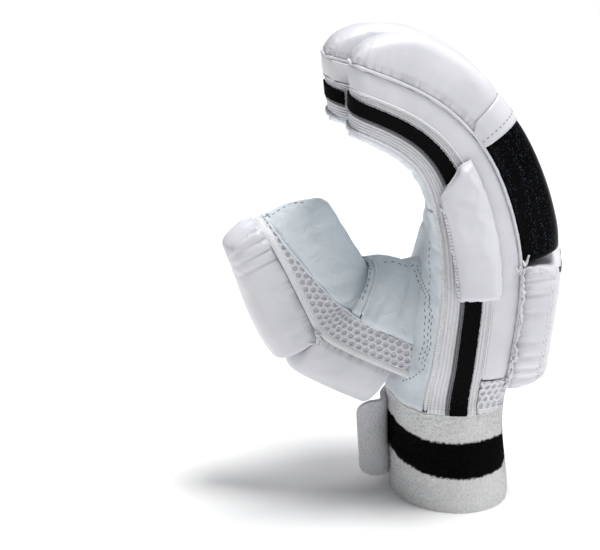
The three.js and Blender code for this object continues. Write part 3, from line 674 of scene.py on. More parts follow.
# %% Runs
def run_along(points):
    """Distances along a chain of (along, across) points, and a reader with a sideways lift."""
    marks = [0.0]
    for a, b in zip(points, points[1:]):
        marks.append(marks[-1] + math.hypot(b[0] - a[0], b[1] - a[1]))

    def at(distance, lift=0.0):
        low, high = 0, len(marks) - 2
        while low < high:
            half = (low + high + 1) // 2
            low, high = (half, high) if marks[half] <= distance else (low, half - 1)
        a, b = points[low], points[low + 1]
        t = clamp((distance - marks[low]) / max(marks[low + 1] - marks[low], 1e-9), 0, 1)
        before, after = points[max(low - 1, 0)], points[min(low + 2, len(points) - 1)]
        one, two = (b[0] - before[0], b[1] - before[1]), (after[0] - a[0], after[1] - a[1])
        way = (mix(one[0], two[0], t), mix(one[1], two[1], t))
        long = math.hypot(*way) or 1.0
        return (mix(a[0], b[0], t) - way[1] / long * lift, mix(a[1], b[1], t) + way[0] / long * lift)
    return marks[-1], at


def finger_run(place, tip, start, inset, up_side, turn_from=0.0, turn_to=1.0):
    shoulder = tip - TIP_ROUND

    def half(along):
        return (pitch_at(along) - FINGER_GAP) / 2 - inset
    points = []
    if turn_from == 0:
        points += [(a, place * pitch_at(a) + up_side * half(a)) for a in
                   (mix(start, shoulder, i / 60) for i in range(61))]
    for i in range(1, 32):
        turn = i / 32
        if turn_from <= turn <= turn_to:
            side = math.cos(turn * math.pi)
            along = shoulder + (TIP_ROUND - inset) * math.sin(turn * math.pi) ** 0.77
            side = math.copysign(abs(side) ** 0.77, side)
            points.append((along, place * pitch_at(along) + up_side * side * half(along)))
    if turn_to == 1:
        points += [(a, place * pitch_at(a) - up_side * half(a)) for a in
                   (mix(shoulder, WEB, i / 20) for i in range(21))]
    length, at = run_along(points)
    return length, (lambda distance, lift=0.0: at(distance, lift * up_side))


length, _ = finger_run(-1.5, 0.975 * BACK, MESH_BARE + GAP, 0, -1)
print("side wall of the little finger runs", round(length), "mm")

# %% [markdown]
# ## Side walls
# Each finger has a smooth coated facing under its roll, then ribbed elastic down to the palm, with a
# black knitted stripe over it. Strips of leather that bend round a fingertip wrinkle on the inner
# edge, so the relief grows towards the lower edge and round the tip.

# %% Facings, tapes and stripes
def wall_piece(name, which, start, span, inset, columns, rows, material, slot, wall, rolls, stands_for=(),
               turn=(0.0, 1.0), lowers=0.0, scallop=0.0, tip_back=0.0, stop=None):
    _, place, share, _ = FINGERS[which]
    tip, line, up_side = share * BACK - tip_back, finger_lines[which], 1 if which == 0 else -1
    length, run = finger_run(place, tip, start, inset, up_side, *turn)
    length = stop or length

    def spot(u, v, lift):
        over = smooth((4 - u * length) / 4) if start < 1 else 0.0
        along, across = run(u * length, lift + 0.8 * over)
        along -= 2.6 * over
        deep = depth_at(along)
        share = mix(span[0], span[1], v)
        if scallop:
            loops = abs(math.sin(u * length * math.pi / 2.6))
            wave = loops * 0.7 + 0.6 * ripple(u * length, 2.2, 5 if v > 0.5 else 8)
            share += scallop * wave * (1 if v > 0.5 else -1) * abs(2 * v - 1) ** 3
        return glove_space(line, along, across, -GAP - share * deep + (2 * GAP * v if not scallop else 0))

    def relief(u, v):
        at = u * length
        near_tip = math.exp(-((at - (tip - start)) / 30) ** 2)
        wrinkles = rolls * (0.4 + near_tip) * ripple(at, 6.5, place * 3 + span[0]) * (0.25 + v)
        return wrinkles + lowers * math.sin(math.pi * v)
    bm = lay(columns, rows, spot, (length, (span[1] - span[0]) * 40), relief)
    cloth(sew_on(name, bm, material, slot, stands_for, wall))


for which, (finger, *_) in enumerate(FINGERS):
    edge = which in (0, 3)
    wall_piece(f"facing_{finger}", which, MESH_BARE + GAP if edge else WEB, (0, FACING_FOOT), 0,
               190 if edge else 90, 12, white_leather, "white_pu", FACING, 0.35, f"side_facing_{finger}", lowers=0.3)
    wall_piece(f"tape_{finger}", which, FOOT if edge else WEB, (FACING_FOOT, 1), 0, 200 if edge else 100, 24,
               rib_tape, "elastic_tape", TAPE, 0.2, f"side_tape_{finger}", tip_back=0.5)
    start, turn = FOOT if which == 0 else BAR_TO - 10, (0.0 if edge else 0.03, 0.85)
    wall_piece(f"stripe_{finger}", which, start, STRIPE_SPAN, -GAP - STRIPE, 420 if which == 0 else 240, 8,
               black_tape, "black_tape", STRIPE, 0.12, f"tape_stripe_{finger}", turn, scallop=0.008, tip_back=0.5)
    wall_piece(f"grey_edge_{finger}", which, start, GREY_SPAN, -GAP - 0.5, 200 if edge else 70, 3,
               grey_tape, "elastic_tape", 0.5, 0.05, turn=turn, tip_back=0.5)
print("side walls:", len(pieces))

# %% [markdown]
# The stripe by the wrist comes out below the side bar and ends over the cuff.

# %% Stripe by the wrist
wrist_to = BAR_FROM + 8
wall_piece("stripe_wrist", 3, FOOT, STRIPE_SPAN, -GAP - STRIPE, 150, 8, black_tape, "black_tape", STRIPE, 0.15,
           "tape_stripe_wrist", scallop=0.008, stop=wrist_to)
wall_piece("grey_edge_wrist", 3, FOOT, GREY_SPAN, -GAP - 0.5, 60, 3, grey_tape, "elastic_tape", 0.5, 0.05,
           stop=wrist_to)
print("wrist stripe runs", wrist_to, "mm")

# %% [markdown]
# ## Finger backs and fronts
# A plain cloth closes each finger under its roll. The front is sheepskin with a crease at each joint.

# %% Finger backs and fronts
def finger_skin(name, which, level, material, slot, wall, inset, tip_back, relief, stands_for, outward):
    _, place, share, _ = FINGERS[which]
    tip, line = share * BACK - tip_back, finger_lines[which]

    def spot(u, v, lift):
        along = mix(WEB + GAP, tip - inset - 0.2, v)
        past = clamp((along - (tip - TIP_ROUND)) / (TIP_ROUND - inset), 0, 0.995)
        half = ((pitch_at(along) - FINGER_GAP) / 2 - inset) * (1 - past ** 2.6) ** (1 / 2.6)
        side = 2 * u - 1
        across = place * pitch_at(along) + side * half
        return glove_space(line, along, across, level(along, side) + lift * outward)
    bm = lay(16, 60, spot, (26, tip - WEB), relief)
    cloth(sew_on(name, bm, material, slot, stands_for, wall))


def front_level(along, side):
    return leather_level(along, 0.09 * DEPTH * (1 - side * side))


for which, (finger, place, *_) in enumerate(FINGERS):
    finger_skin(f"back_cloth_{finger}", which, lambda along, side: MESH, back_cloth, "elastic_tape", MESH, 0, 0,
                None, f"finger_back_{finger}", 1)
    finger_skin(f"front_{finger}", which, front_level, sheepskin, "sheepskin", LEATHER, 0.2, 0.5,
                lambda u, v: 0.5 * ripple(v * 100, 12, u * 2 + place) - 0.9 * math.exp(-((v - 0.35) / 0.03) ** 2),
                f"finger_front_{finger}", -1)
print("pieces:", len(pieces))

# %% [markdown]
# ## Palm
# The palm swells towards the heel of the thumb and is left open where the thumb goes in. It is laid
# as a whole sheet, then the faces inside the thumb's root are deleted. The corner beside the side wall
# is kept, so that the heel of the thumb meets the palm there without an opening.

# %% Palm
def palm_spot(u, v, lift, grow=0.0):
    along = mix(FOOT, WEB - GAP, v)
    e = 2 * u - 1
    over = smooth((4 - along) / 4) if v >= 0 else 0.0
    across = e * (half_width(along) - FINGER_GAP / 2 + grow)
    return glove_space(little_line, along - 2.4 * over, across, palm_level(along, e) - lift - 0.7 * over)


def palm_relief(u, v):
    slow = noise.noise(Vector((u * 5, v * 6, 2.2))) * 1.3
    quick = 0.5 * ripple(v * 140 + 18 * u, 9, 4 * u) + 0.25 * ripple(v * 100 - 60 * u, 4, 2)
    return slow + quick - 0.8 * math.exp(-((v - 0.78 + 0.08 * u) / 0.018) ** 2)


def inside_thumb_root(point):
    spot = point / MM - FROM_CUFF
    for step in range(0, 60, 2):
        x, z, lean = thumb_line(step)
        dx, dz = spot.x - x, spot.z - z
        if abs(-dx * math.sin(lean) + dz * math.cos(lean)) < 1.5:
            out, share = dx * math.cos(lean) + dz * math.sin(lean), step / THUMB_LONG
            side = spot.y - thumb_shift(step)
            half = thumb_half(step) - 3.5
            if abs(side) < half and 3 < out < THUMB_DEEP * thumb_depth(share) - 4:
                return True
    return False


palm_bm = lay(60, 90, palm_spot, (105, 138), palm_relief)
palm_tree = BVHTree.FromBMesh(
    lay(40, 60, lambda u, v, lift: palm_spot(u, mix(-0.1, 1.15, v), lift, 3.0), (105, 138)))
root_corner = Vector((10, -12, 129.5)) * MM
hole = [face for face in palm_bm.faces if inside_thumb_root(face.calc_center_median())
        and (face.calc_center_median() - root_corner).length > 6.5 * MM]
bmesh.ops.delete(palm_bm, geom=hole, context="FACES")
cloth(sew_on("palm_skin", palm_bm, sheepskin, "sheepskin", "palm", LEATHER))
print("palm opened by", len(hole), "faces")

# %% [markdown]
# ## Thumb
# The thumb is a sheepskin ball, an air mesh band and a coated back strip. What would poke through the
# palm into the hand's space is trimmed off, by asking the nearest point of the palm which side it is on.

# %% Thumb leather
def trimmed(bm):
    inner = []
    for face in bm.faces:
        spot = face.calc_center_median()
        near, normal, _, _ = palm_tree.find_nearest(spot)
        if near is not None and (spot - near).dot(normal) < -0.0012:
            inner.append(face)
    bmesh.ops.delete(bm, geom=inner, context="FACES")
    return bm


def thumb_end(along, inset=0.0):
    past = clamp((along - (THUMB_LONG - 15)) / (15 - inset), 0, 1)
    return (1 - min(past, 0.9995) ** 2.5) ** 0.4


def rise(side, roundness):
    return max(0.0, 1 - abs(side) ** roundness) ** (1 / roundness)


def ball_spot(start, stop):
    def spot(u, v, lift):
        along = mix(start, stop, 1 - (1 - v) ** 1.5)
        end, share = thumb_end(along), along / THUMB_LONG
        seam = THUMB_DEEP * thumb_seam(share)
        depth = (THUMB_DEEP * thumb_depth(share) - seam) * end + lift
        side = -math.cos(math.pi * u)
        across = side * (thumb_half(along) * end + lift)
        return thumb_space(along, across, seam + GAP + rise(side, 2.5) * depth)
    return spot


def heel_relief(u, v):
    seams = 1.3 * math.exp(-((v - 0.45) / 0.025) ** 2) * smooth(u / 0.1)
    soft = 0.9 * noise.noise(Vector((u * 7, v * 5, 1))) + 0.35 * ripple(v * 40 + 25 * u, 5, 6)
    return 1.6 * math.sin(math.pi * clamp(v / 0.45 if v < 0.45 else (v - 0.45) / 0.55, 0, 1)) - seams + soft


def front_relief(u, v):
    calm = smooth((1 - v) / 0.08)
    folds = 0.9 * ripple(v * 80 + 20 * u, 13, 9) * smooth(v * 4) * calm
    crease = 0.45 * ripple(v * 50 - 30 * u, 4.5, 3) * (0.3 + smooth((v - 0.5) / 0.5)) * calm
    slow = noise.noise(Vector((u * 6, v * 5, 5))) * calm
    return folds + crease + slow - 1.1 * math.exp(-((v - 0.09) / 0.03) ** 2)


def strip_place(u, v, lift):
    side = (2 * u - 1) * (thumb_half(v * THUMB_LONG) + 0.4) * thumb_end(v * THUMB_LONG, -0.4)
    return thumb_space(mix(0, THUMB_LONG + 0.2, v), side, -MESH - lift)


ball, heel_ball = ball_spot(HEEL_TO + 0.6, THUMB_LONG), ball_spot(0, HEEL_TO)
heel = trimmed(lay(64, 44, heel_ball, (120, 46), heel_relief))
cloth(sew_on("heel_skin", heel, sheepskin, "sheepskin", "thumb_heel", LEATHER))
front = lay(64, 90, ball, (110, 82), front_relief)
cloth(sew_on("thumb_skin", front, sheepskin, "sheepskin", "thumb_front", LEATHER))
strip = lay(14, 90, strip_place, (45, 128))
cloth(sew_on("thumb_back_strip", trimmed(strip), white_leather, "white_pu", "thumb_back", MESH))
print("thumb laid")

# %% Thumb mesh band
gusset_points = [(a, -thumb_half(a) * thumb_end(a))
                 for a in (THUMB_LONG * (1 - (1 - i / 60) ** 1.6) for i in range(60))]
gusset_points += [(THUMB_LONG, 0.0)] + [(a, -c) for a, c in reversed(gusset_points)]
gusset_long, gusset_run = run_along(gusset_points)


def gusset_spot(distance, out, lift):
    along, side = gusset_run(distance, -lift)
    return thumb_space(along, side, out)


def gusset_deep(distance):
    return THUMB_DEEP * thumb_seam(gusset_run(distance)[0] / THUMB_LONG)


def gusset_band(distance, v, lift):
    return gusset_spot(distance, mix(GAP, gusset_deep(distance), v), lift)


band = lay(150, 8, lambda u, v, lift: gusset_band(u * gusset_long, v, lift), (gusset_long, 17))
cloth(sew_on("thumb_mesh_backing", trimmed(band), backing, "air_mesh", "thumb_gusset", TAPE))
print("mesh band round the thumb:", round(gusset_long), "mm")

# %% [markdown]
# ## Open mesh
# The six-sided cells are made flat: a circle of six sides for each cell, merged with its neighbours,
# each face inset and its middle deleted. What is left is a net of strands, which is moved on to the
# surface. Cells are 4.3 mm apart, about as in the photograph.

# %% Net of strands
def net(length, depth_of, spot, cell=4.3, strand=0.85):
    bm = bmesh.new()
    radius = cell / math.sqrt(3)
    rows = int(max(depth_of(length * i / 20) for i in range(21)) / (1.5 * radius)) + 2
    for row in range(rows):
        for column in range(int(length / cell) + 1):
            x, y = (column + (row % 2) / 2) * cell, row * 1.5 * radius
            if 0 <= x <= length and y < depth_of(x) + 0.4 * radius:
                bmesh.ops.create_circle(bm, cap_ends=True, segments=6, radius=radius * 1.001,
                                        matrix=Matrix.Translation((x, y, 0)))
    bmesh.ops.remove_doubles(bm, verts=bm.verts, dist=0.05)
    bmesh.ops.inset_individual(bm, faces=bm.faces, thickness=strand, use_even_offset=True)
    bmesh.ops.delete(bm, geom=[face for face in bm.faces if len(face.verts) == 6], context="FACES")
    bmesh.ops.subdivide_edges(bm, edges=[e for e in bm.edges if e.calc_length() > 1.2], cuts=1, smooth=0.0)
    bmesh.ops.triangulate(bm, faces=[f for f in bm.faces if len(f.verts) > 4])
    mark_cut(bm.faces, bm.loops.layers.uv.new("cut"), lambda vert: (vert.co.x * MM, vert.co.y * MM))
    for vert in bm.verts:
        x, y = clamp(vert.co.x, 0, length), vert.co.y
        vert.co = spot(x, clamp(y, 0, depth_of(x)), 0.0)
    bmesh.ops.dissolve_degenerate(bm, edges=bm.edges, dist=1e-5)
    bm.normal_update()
    return bm


def face_out(bm, toward):
    """Turns loose strands so that they face away from the point given."""
    for face in bm.faces:
        if face.normal.dot(face.calc_center_median() - toward) < 0:
            face.normal_flip()
    return bm


def thumb_net_spot(x, y, lift):
    return gusset_spot(x, mix(GAP, gusset_deep(x), y / max(gusset_deep(x), 0.1)), 0.55)


thumb_net = face_out(net(gusset_long, gusset_deep, thumb_net_spot), thumb_space(80, 0, 15))
sew_on("thumb_net", thumb_net, strands, "air_mesh", (), 0.7)
print("thumb net:", len(pieces["thumb_net"].data.polygons), "faces")

# %% [markdown]
# ## Back of the hand
# The same mesh covers the back under the pads and wraps on to the sides just above the cuff, where
# it shows. Only that part gets the net; the rest lies under the pads.

# %% Back mesh
def back_spot(u, v, lift):
    along = mix(FOOT, WEB - GAP, v)
    wrap = smooth((MESH_BARE - 0.4 - along) / 0.4 + 1)
    e = 2 * u - 1
    past = clamp((abs(e) - 0.8) / 0.2, 0, 1)
    edge = half_width(along) + lift
    drop = wrap * (FACING_FOOT * depth_at(along) - GAP)
    out = (MESH + lift) * (1 - past) - past * drop
    over = smooth((4 - along) / 4)
    across = clamp(e / 0.8, -1, 1) * (edge + 0.5 * over)
    return glove_space(little_line, along - 2.4 * over, across, out + 0.5 * over * (1 - past))


cloth(sew_on("back_mesh_cloth", lay(70, 90, back_spot, (140, 138)), backing, "air_mesh", "back_mesh", MESH))


net_side, net_wide = FACING_FOOT * depth_at(8), 2 * half_width(8)


def wrist_net_spot(x, y, lift):
    """x runs round the back from one side wall to the other, y goes up the glove."""
    along = clamp(y, 0.0, MESH_BARE - 0.2) - 2.2 * smooth((4 - y) / 4)
    half = half_width(along) + 0.75
    if x < net_side:
        return glove_space(little_line, along, -half, -(net_side - x))
    if x > net_side + net_wide:
        return glove_space(little_line, along, half, -(x - net_side - net_wide))
    return glove_space(little_line, along, ((x - net_side) / net_wide * 2 - 1) * half, MESH + 0.55)


wrist_net = net(2 * net_side + net_wide, lambda x: MESH_BARE - 0.5, wrist_net_spot)
wrist_net = face_out(wrist_net, glove_space(little_line, 10, 0, -20))
sew_on("wrist_net", wrist_net, strands, "air_mesh", (), 0.7)
print("wrist net:", len(pieces["wrist_net"].data.polygons), "faces")

# %% [markdown]
# ## Stuffed pads
# A pad is two pieces of leather sewn together round a core: crowned on top, flat underneath. Both
# skins start as grids with the same number of squares, so their edges meet and are merged. Rows crowd
# towards the edges, where the leather turns down into the seam. `surface` gives any point of the
# crown, and is used again for what is sewn on to it.

# %% A pad's surface
def ease(t):
    """Even steps that crowd towards both ends."""
    return mix(t, 0.5 - 0.5 * math.cos(math.pi * t), 0.75)


def pad_surface(line, place, edges, high, squeeze, roundness, end_round=3.2):
    def surface(side, t, lift=0.0):
        left, right = edges(t)
        run = abs(place(1, (left + right) / 2) - place(0, (left + right) / 2))
        close = clamp(min(t * run, (1 - t) * run) / end_round, 0, 1)
        crown = (1 - (1 - close) ** 2.3) ** (1 / 2.3)
        half = (right - left) / 2 * squeeze(t)
        across = (left + right) / 2 + side * (half + lift * 0.7)
        raised = (PAD_EDGE + rise(side, roundness) * (high(t) - PAD_EDGE)) * mix(0.04, 1, crown) + lift
        along = place(t, across)
        return glove_space(line, along, across, PAD_LEVEL + raised)
    return surface


def pad_floor(line, place, edges, squeeze=lambda t: 1):
    def floor(side, t):
        left, right = edges(t)
        across = (left + right) / 2 + side * (right - left) / 2 * squeeze(t)
        return glove_space(line, place(t, across), across, PAD_LEVEL)
    return floor


def rim_run(u, v, wide, long):
    """How far round the seam a point of the rim lies."""
    if u < 1e-6:
        return v * long
    if v > 1 - 1e-6:
        return long + u * wide
    if u > 1 - 1e-6:
        return long + wide + (1 - v) * long
    return 2 * long + wide + (1 - u) * wide


def stuff(columns, rows, surface, floor, cut, relief, seam_reach=1.6):
    """A closed pad with creases, its edge values written for the finish."""
    bm = bmesh.new()
    cut_map = bm.loops.layers.uv.new("cut")
    seam, held = bm.verts.layers.float.new("seam"), bm.verts.layers.float.new("held")
    for crown in (True, False):
        flat = flat_grid(bm, columns, rows)
        mark_cut({face for vert in flat for face in vert.link_faces}, cut_map, at_size(flat, cut))
        for vert, (u, v) in flat.items():
            side, t = -math.cos(math.pi * u), ease(v)
            edge = min(u, 1 - u) < 1e-6 or min(v, 1 - v) < 1e-6
            vert.co = surface(side, t) if crown and not edge else floor(side, t)
            vert[held] = 0.0 if crown and not edge else 1.0
        if not crown:
            continue
        rim = [(vert, rim_run(*flat[vert], *cut)) for vert in flat if vert.is_boundary]
        finder = KDTree(len(rim))
        for i, (vert, _) in enumerate(rim):
            finder.insert(vert.co, i)
        finder.balance()
        from_rim = {}
        for vert in flat:
            _, i, near = finder.find(vert.co)
            from_rim[vert] = (near / MM, rim[i][1])
            # The finish darkens the colour near the seam, partly as dust, partly as painted shade.
            vert[seam] = clamp(1 - near / MM / seam_reach, 0, 1) ** 2
        bm.normal_update()
        middle = min(flat, key=lambda vert: abs(flat[vert][0] - 0.5) + abs(flat[vert][1] - 0.5))
        flip = -1 if middle.normal.dot(surface(0, 0.5, 1) - surface(0, 0.5, 0)) < 0 else 1
        steps = []
        for vert, (u, v) in flat.items():
            if 1e-6 < u < 1 - 1e-6 and 1e-6 < v < 1 - 1e-6:
                deep = relief(-math.cos(math.pi * u), ease(v), *from_rim[vert])
                steps.append((vert, vert.normal * flip * MM * deep))
        for vert, step in steps:
            vert.co += step
    bmesh.ops.remove_doubles(bm, verts=bm.verts, dist=2e-6)
    bmesh.ops.recalc_face_normals(bm, faces=bm.faces)
    return bm


def gathers(seed, wide, long, deep=0.55, size=5.0, reach=6.0, dents=0.5, where=None):
    """Puckers that die out some millimetres from the seam; where(side, t) says how strong they are."""
    def relief(side, t, near, run):
        strong = deep * (where(side, t) if where else 1.0)
        place = run / size + 0.9 * noise.noise(Vector((run / (2.5 * size), seed, 0)))
        dies_out = reach * (0.6 + 1.1 * abs(noise.noise(Vector((run / size, seed, 7)))))
        fold = abs(math.sin(math.pi * place)) ** 0.6 - 0.62
        value = strong * fold * math.exp(-near / dies_out) * (1 - math.exp(-near / 0.9))
        value += dents * noise.noise(Vector((t * long / 26, side * wide / 34, seed)))
        return value - 0.25 * math.exp(-((near - 2.2) / 0.7) ** 2)
    return relief


stuffed_pads = []


def sewn_pad(name, node, surface, floor, grid, cut, seed, folds, fill, leather=white_leather, slot="white_pu"):
    bm = stuff(*grid, surface, floor, cut, gathers(seed, *cut, *folds))
    made = sew_on(name, bm, leather, slot, node)
    stuffed_pads.append(made)


print("a pad is sewn down over", PAD_EDGE, "mm")

# %% [markdown]
# ## Rolls
# Each finger has a long roll with a rounded nose and a shorter roll over its knuckle. The knuckle
# roll of the little finger is the black panel.

# %% Finger and knuckle rolls
FOOT_OF_ROLLS = through([(-2, .348), (-1.5, .348), (-1, .388), (0, .424), (1, .408), (2, .392)])
STEP_OF_PADS = through([(-2, .342), (-1.5, .342), (-1, .38), (-.72, .385), (-.45, .35), (-.2, .29),
                        (.1, .262), (2, .258)])
foot_of_rolls, step_of_pads = (quick_line(line, -2.4, 2.4, 0.01) for line in (FOOT_OF_ROLLS, STEP_OF_PADS))


def foot_at(line, across):
    return BACK * line(across / pitch_at(0.36 * BACK))


def roll_place(tip):
    return lambda t, across: mix(JOINT + 0.4, tip - 0.6, t)


def knuckle_place(t, across):
    return mix(foot_at(foot_of_rolls, across) + 0.5, JOINT - 0.4, t)


def edges_on(place, along_at, across):
    """The two edges of a finger's pad, as wide as the finger is there."""
    def edges(t):
        pitch = pitch_at(along_at(t, across))
        half = (pitch - FINGER_GAP) / 2
        return (place * pitch - half, place * pitch + half)
    return edges


def roll_high(t):
    nose = math.sqrt(max(0.02, 1 - clamp((t - 0.5) / 0.5, 0, 1) ** 2))
    return ROLL_HIGH * nose * (1 - 0.12 * clamp((0.2 - t) / 0.2, 0, 1) ** 2.4)


def roll_squeeze(t):
    return mix(0.5, 1, max(0.0, 1 - clamp((t - 0.8) / 0.2, 0, 1) ** 2.5) ** 0.4)


def roll_folds(side, t):
    return 0.3 + 1.3 * math.exp(-((t - 0.38) / 0.2) ** 2) + math.exp(-((t - 0.95) / 0.08) ** 2)


def knuckle_high(t):
    head, foot = clamp((t - 0.8) / 0.2, 0, 1) ** 2.4, clamp((0.2 - t) / 0.2, 0, 1) ** 2.4
    return KNUCKLE_HIGH * (1 - 0.16 * head) * (1 - 0.08 * foot) * mix(1, 0.93, t)


roll_surfaces, knuckle_surfaces = {}, {}
for which, (finger, place, share, _) in enumerate(FINGERS):
    tip, middle, line = share * BACK, place * PITCH, finger_lines[which]
    tip_place = roll_place(tip)
    edges = edges_on(place, tip_place, 0)
    roll_surfaces[finger] = pad_surface(line, tip_place, edges, roll_high, roll_squeeze, 2.7)
    sewn_pad(f"roll_{finger}", f"finger_roll_{finger}", roll_surfaces[finger],
             pad_floor(line, tip_place, edges, roll_squeeze), (36, 64), (45, tip - JOINT), which * 5,
             (1.7, 5.5, 9, 0.4, roll_folds), 0.75)
    edges = edges_on(place, knuckle_place, middle)
    knuckle_surfaces[finger] = pad_surface(little_line, knuckle_place, edges, knuckle_high, lambda t: 1, 2.9)
    panel_floor = pad_floor(little_line, knuckle_place, edges)
    look = (black_leather, "black_pu") if finger == "little" else (white_leather, "white_pu")
    sewn_pad(f"knuckle_{finger}", f"knuckle_roll_{finger}", knuckle_surfaces[finger], panel_floor, (36, 56),
             (45, JOINT - foot_at(foot_of_rolls, middle)), which * 7 + 2, (0.3, 6, 4, 0.2), 0.75, *look)
print("rolls:", len(roll_surfaces) + len(knuckle_surfaces))

# %% [markdown]
# ## Pads over the back of the hand
# Two flat stuffed pads, with a stepped seam between them. The hand pad is drawn into deep folds that
# start at its long seams and die out towards the middle; the index pad is smoother.

# %% Hand pads
PAD_FOOT = 11.5


def hand_edges(t):
    half = 2 * pitch_at(mix(PAD_FOOT, 0.36 * BACK, t))
    return (-half, half)


def index_edges(t):
    return (-0.62 * PITCH, 1.98 * PITCH)


def hand_place(t, across):
    return mix(PAD_FOOT, foot_at(step_of_pads, across) - 0.7, t)


def index_place(t, across):
    return mix(foot_at(step_of_pads, across) + 0.7, foot_at(foot_of_rolls, across) - 0.5, t)


def ends_lower(foot, head):
    def high(t):
        low, top = clamp((0.1 - t) / 0.1, 0, 1) ** 2, clamp((t - 0.9) / 0.1, 0, 1) ** 2
        return PAD_HIGH * ((1 - foot * low) * (1 - head * top))
    return high


hand_surface = pad_surface(little_line, hand_place, hand_edges, ends_lower(0.14, 0.08), lambda t: 1, 4.5, 4)
index_surface = pad_surface(little_line, index_place, index_edges, ends_lower(0.1, 0.1), lambda t: 1, 3.6, 3.5)
sewn_pad("hand_pad_skin", "hand_pad", hand_surface, pad_floor(little_line, hand_place, hand_edges),
         (96, 64), (140, 76), 31, (3.0, 9, 17, 0.6), 0.6)
sewn_pad("index_pad_skin", "index_pad", index_surface, pad_floor(little_line, index_place, index_edges),
         (64, 34), (100, 38), 37, (0.6, 6, 5, 0.6), 0.6)
print("pieces:", len(pieces))

# %% [markdown]
# ## Thumb pads
# Two stuffed pads on the back of the thumb. The tip pad is strongly gathered round its end.

# %% Thumb pads
def thumb_pad_surface(start, stop, tall, slack, round_foot, round_head, nose=0.0):
    long = (stop - start) * THUMB_LONG

    def narrowing(t):
        if not nose:
            return 1.0
        past = clamp((t - (1 - nose)) / nose, 0, 1)
        return 1 - 0.34 * (1 - max(0.0, 1 - past ** 2.4) ** (1 / 2.4))

    def surface(side, t, lift=0.0):
        crown = 1.0
        for near, radius in ((t * long, round_foot), ((1 - t) * long, round_head)):
            close = clamp(near / radius, 0, 1)
            crown *= max(0.0, 1 - (1 - close) ** 2.2) ** (1 / 2.2)
        along = mix(start, stop, t) * THUMB_LONG
        half = (thumb_half(along) + slack) * narrowing(t) + lift
        high = 27 * tall(along / THUMB_LONG) * mix(0.1, 1, crown) * mix(1, narrowing(t), 0.6)
        return thumb_space(along, side * half, -PAD_LEVEL - PAD_EDGE * crown - rise(side, 3) * high - lift)

    def floor(side, t):
        along = mix(start, stop, t) * THUMB_LONG
        return thumb_space(along, side * (thumb_half(along) + slack) * narrowing(t), -PAD_LEVEL)
    return surface, floor


def tip_tall(share):
    return mix(0.98, 0.8, smooth((share - 0.6) / 0.4))


def tip_folds(side, t):
    return 0.25 + 1.3 * smooth((t - 0.42) / 0.25)


base = thumb_pad_surface(0.14, 0.468, lambda share: 0.93, -2, 3.5, 3.5)
sewn_pad("thumb_base_skin", "thumb_base_pad", *base, (52, 40), (70, 42), 41, (0.7, 8, 6, 0.3), 0.65)
tip = thumb_pad_surface(0.472, 1.01, tip_tall, 0, 3.5, 4.5, 0.2)
sewn_pad("thumb_tip_skin", "thumb_tip_pad", *tip, (52, 64), (70, 68), 43, (2.0, 7, 17, 0.3, tip_folds), 0.65)
print("pieces:", len(pieces))

# %% [markdown]
# ## Side bar
# A padded bar sewn over the side wall of the leading hand, wider at its top end.

# %% Side bar
def bar_surface(side, t, lift=0.0, crown=1.0):
    along = mix(BAR_FROM, BAR_TO, t)
    out = depth_at(along) * mix(mix(-0.8, -0.92, t), -0.24, (side + 1) / 2)
    dip = smooth((t - 0.7) / 0.3) * 0.16 * (BAR_TO - BAR_FROM) * ((1 - side) / 2)
    dip += smooth((t - 0.86) / 0.14) * smooth((side - 0.4) / 0.6) * 0.05 * (BAR_TO - BAR_FROM)
    near = clamp(min(t, 1 - t) * 92 / 5, 0, 1)
    high = (PAD_EDGE + rise(side, 3) * 8.2) * mix(0.05, 1, (1 - (1 - near) ** 2.3) ** (1 / 2.3)) * crown
    return glove_space(little_line, along - dip, -half_width(along) - STRIPE - GAP - high - lift, out)


sewn_pad("side_bar_skin", "side_bar", bar_surface, lambda side, t: bar_surface(side, t, 0, 0),
         (36, 80), (34, 92), 53, (0.3, 5, 3, 0.3), 0.5)
print("side bar:", round(BAR_TO - BAR_FROM), "mm long")

# %% [markdown]
# ## Filling the pads
# The thirteen pads are blown up as real leather is by its core: Blender's cloth, with a little
# pressure inside, held fast along the sewn rim and the flat underside. The leather is cut a little
# larger than the seam that it is gathered into, and coated leather is stiff to bend, so it swells
# evenly and only softens the puckers. All are simulated together over 16 frames, no point may move
# more than 0.4 mm, and the result is written into each mesh, so no simulation is left on a piece.

# %% Cloth under pressure
FRAMES = 16


def fill_up(pads, fullness=0.006, pressure=2.5, most=0.4):
    for made in pads:
        sewn = made.vertex_groups.new(name="sewn")
        held = made.data.attributes["held"].data
        for i, value in enumerate(held):
            if value.value > 0:
                sewn.add([i], value.value, "REPLACE")
        filling = made.modifiers.new("filling", "CLOTH")
        for key, value in dict(
                quality=4, mass=0.12, air_damping=4, tension_stiffness=14, compression_stiffness=14,
                shear_stiffness=6, bending_stiffness=6, use_pressure=True, uniform_pressure_force=pressure,
                shrink_min=-fullness, vertex_group_mass="sewn").items():
            setattr(filling.settings, key, value)
        filling.settings.effector_weights.gravity = 0
        filling.point_cache.frame_end = FRAMES + 1
    for step in range(1, FRAMES + 1):
        bpy.context.scene.frame_set(step)
    ready = bpy.context.evaluated_depsgraph_get()
    for made in pads:
        blown = made.evaluated_get(ready).to_mesh()
        rest = [vert.co.copy() for vert in made.data.vertices]
        moved = [blown.vertices[i].co - rest[i] for i in range(len(rest))]
        made.evaluated_get(ready).to_mesh_clear()
        made.modifiers.remove(made.modifiers["filling"])
        made.vertex_groups.clear()
        for i, step in enumerate(moved):
            long = step.length
            made.data.vertices[i].co = rest[i] + step * (1.0 if long < most * MM else most * MM / long)
        made.data.update()
        print(made.name, "moved at most", round(max(step.length for step in moved) / MM, 2), "mm")
    bpy.context.scene.frame_set(1)


fill_up(stuffed_pads)
print("pads filled:", len(stuffed_pads))

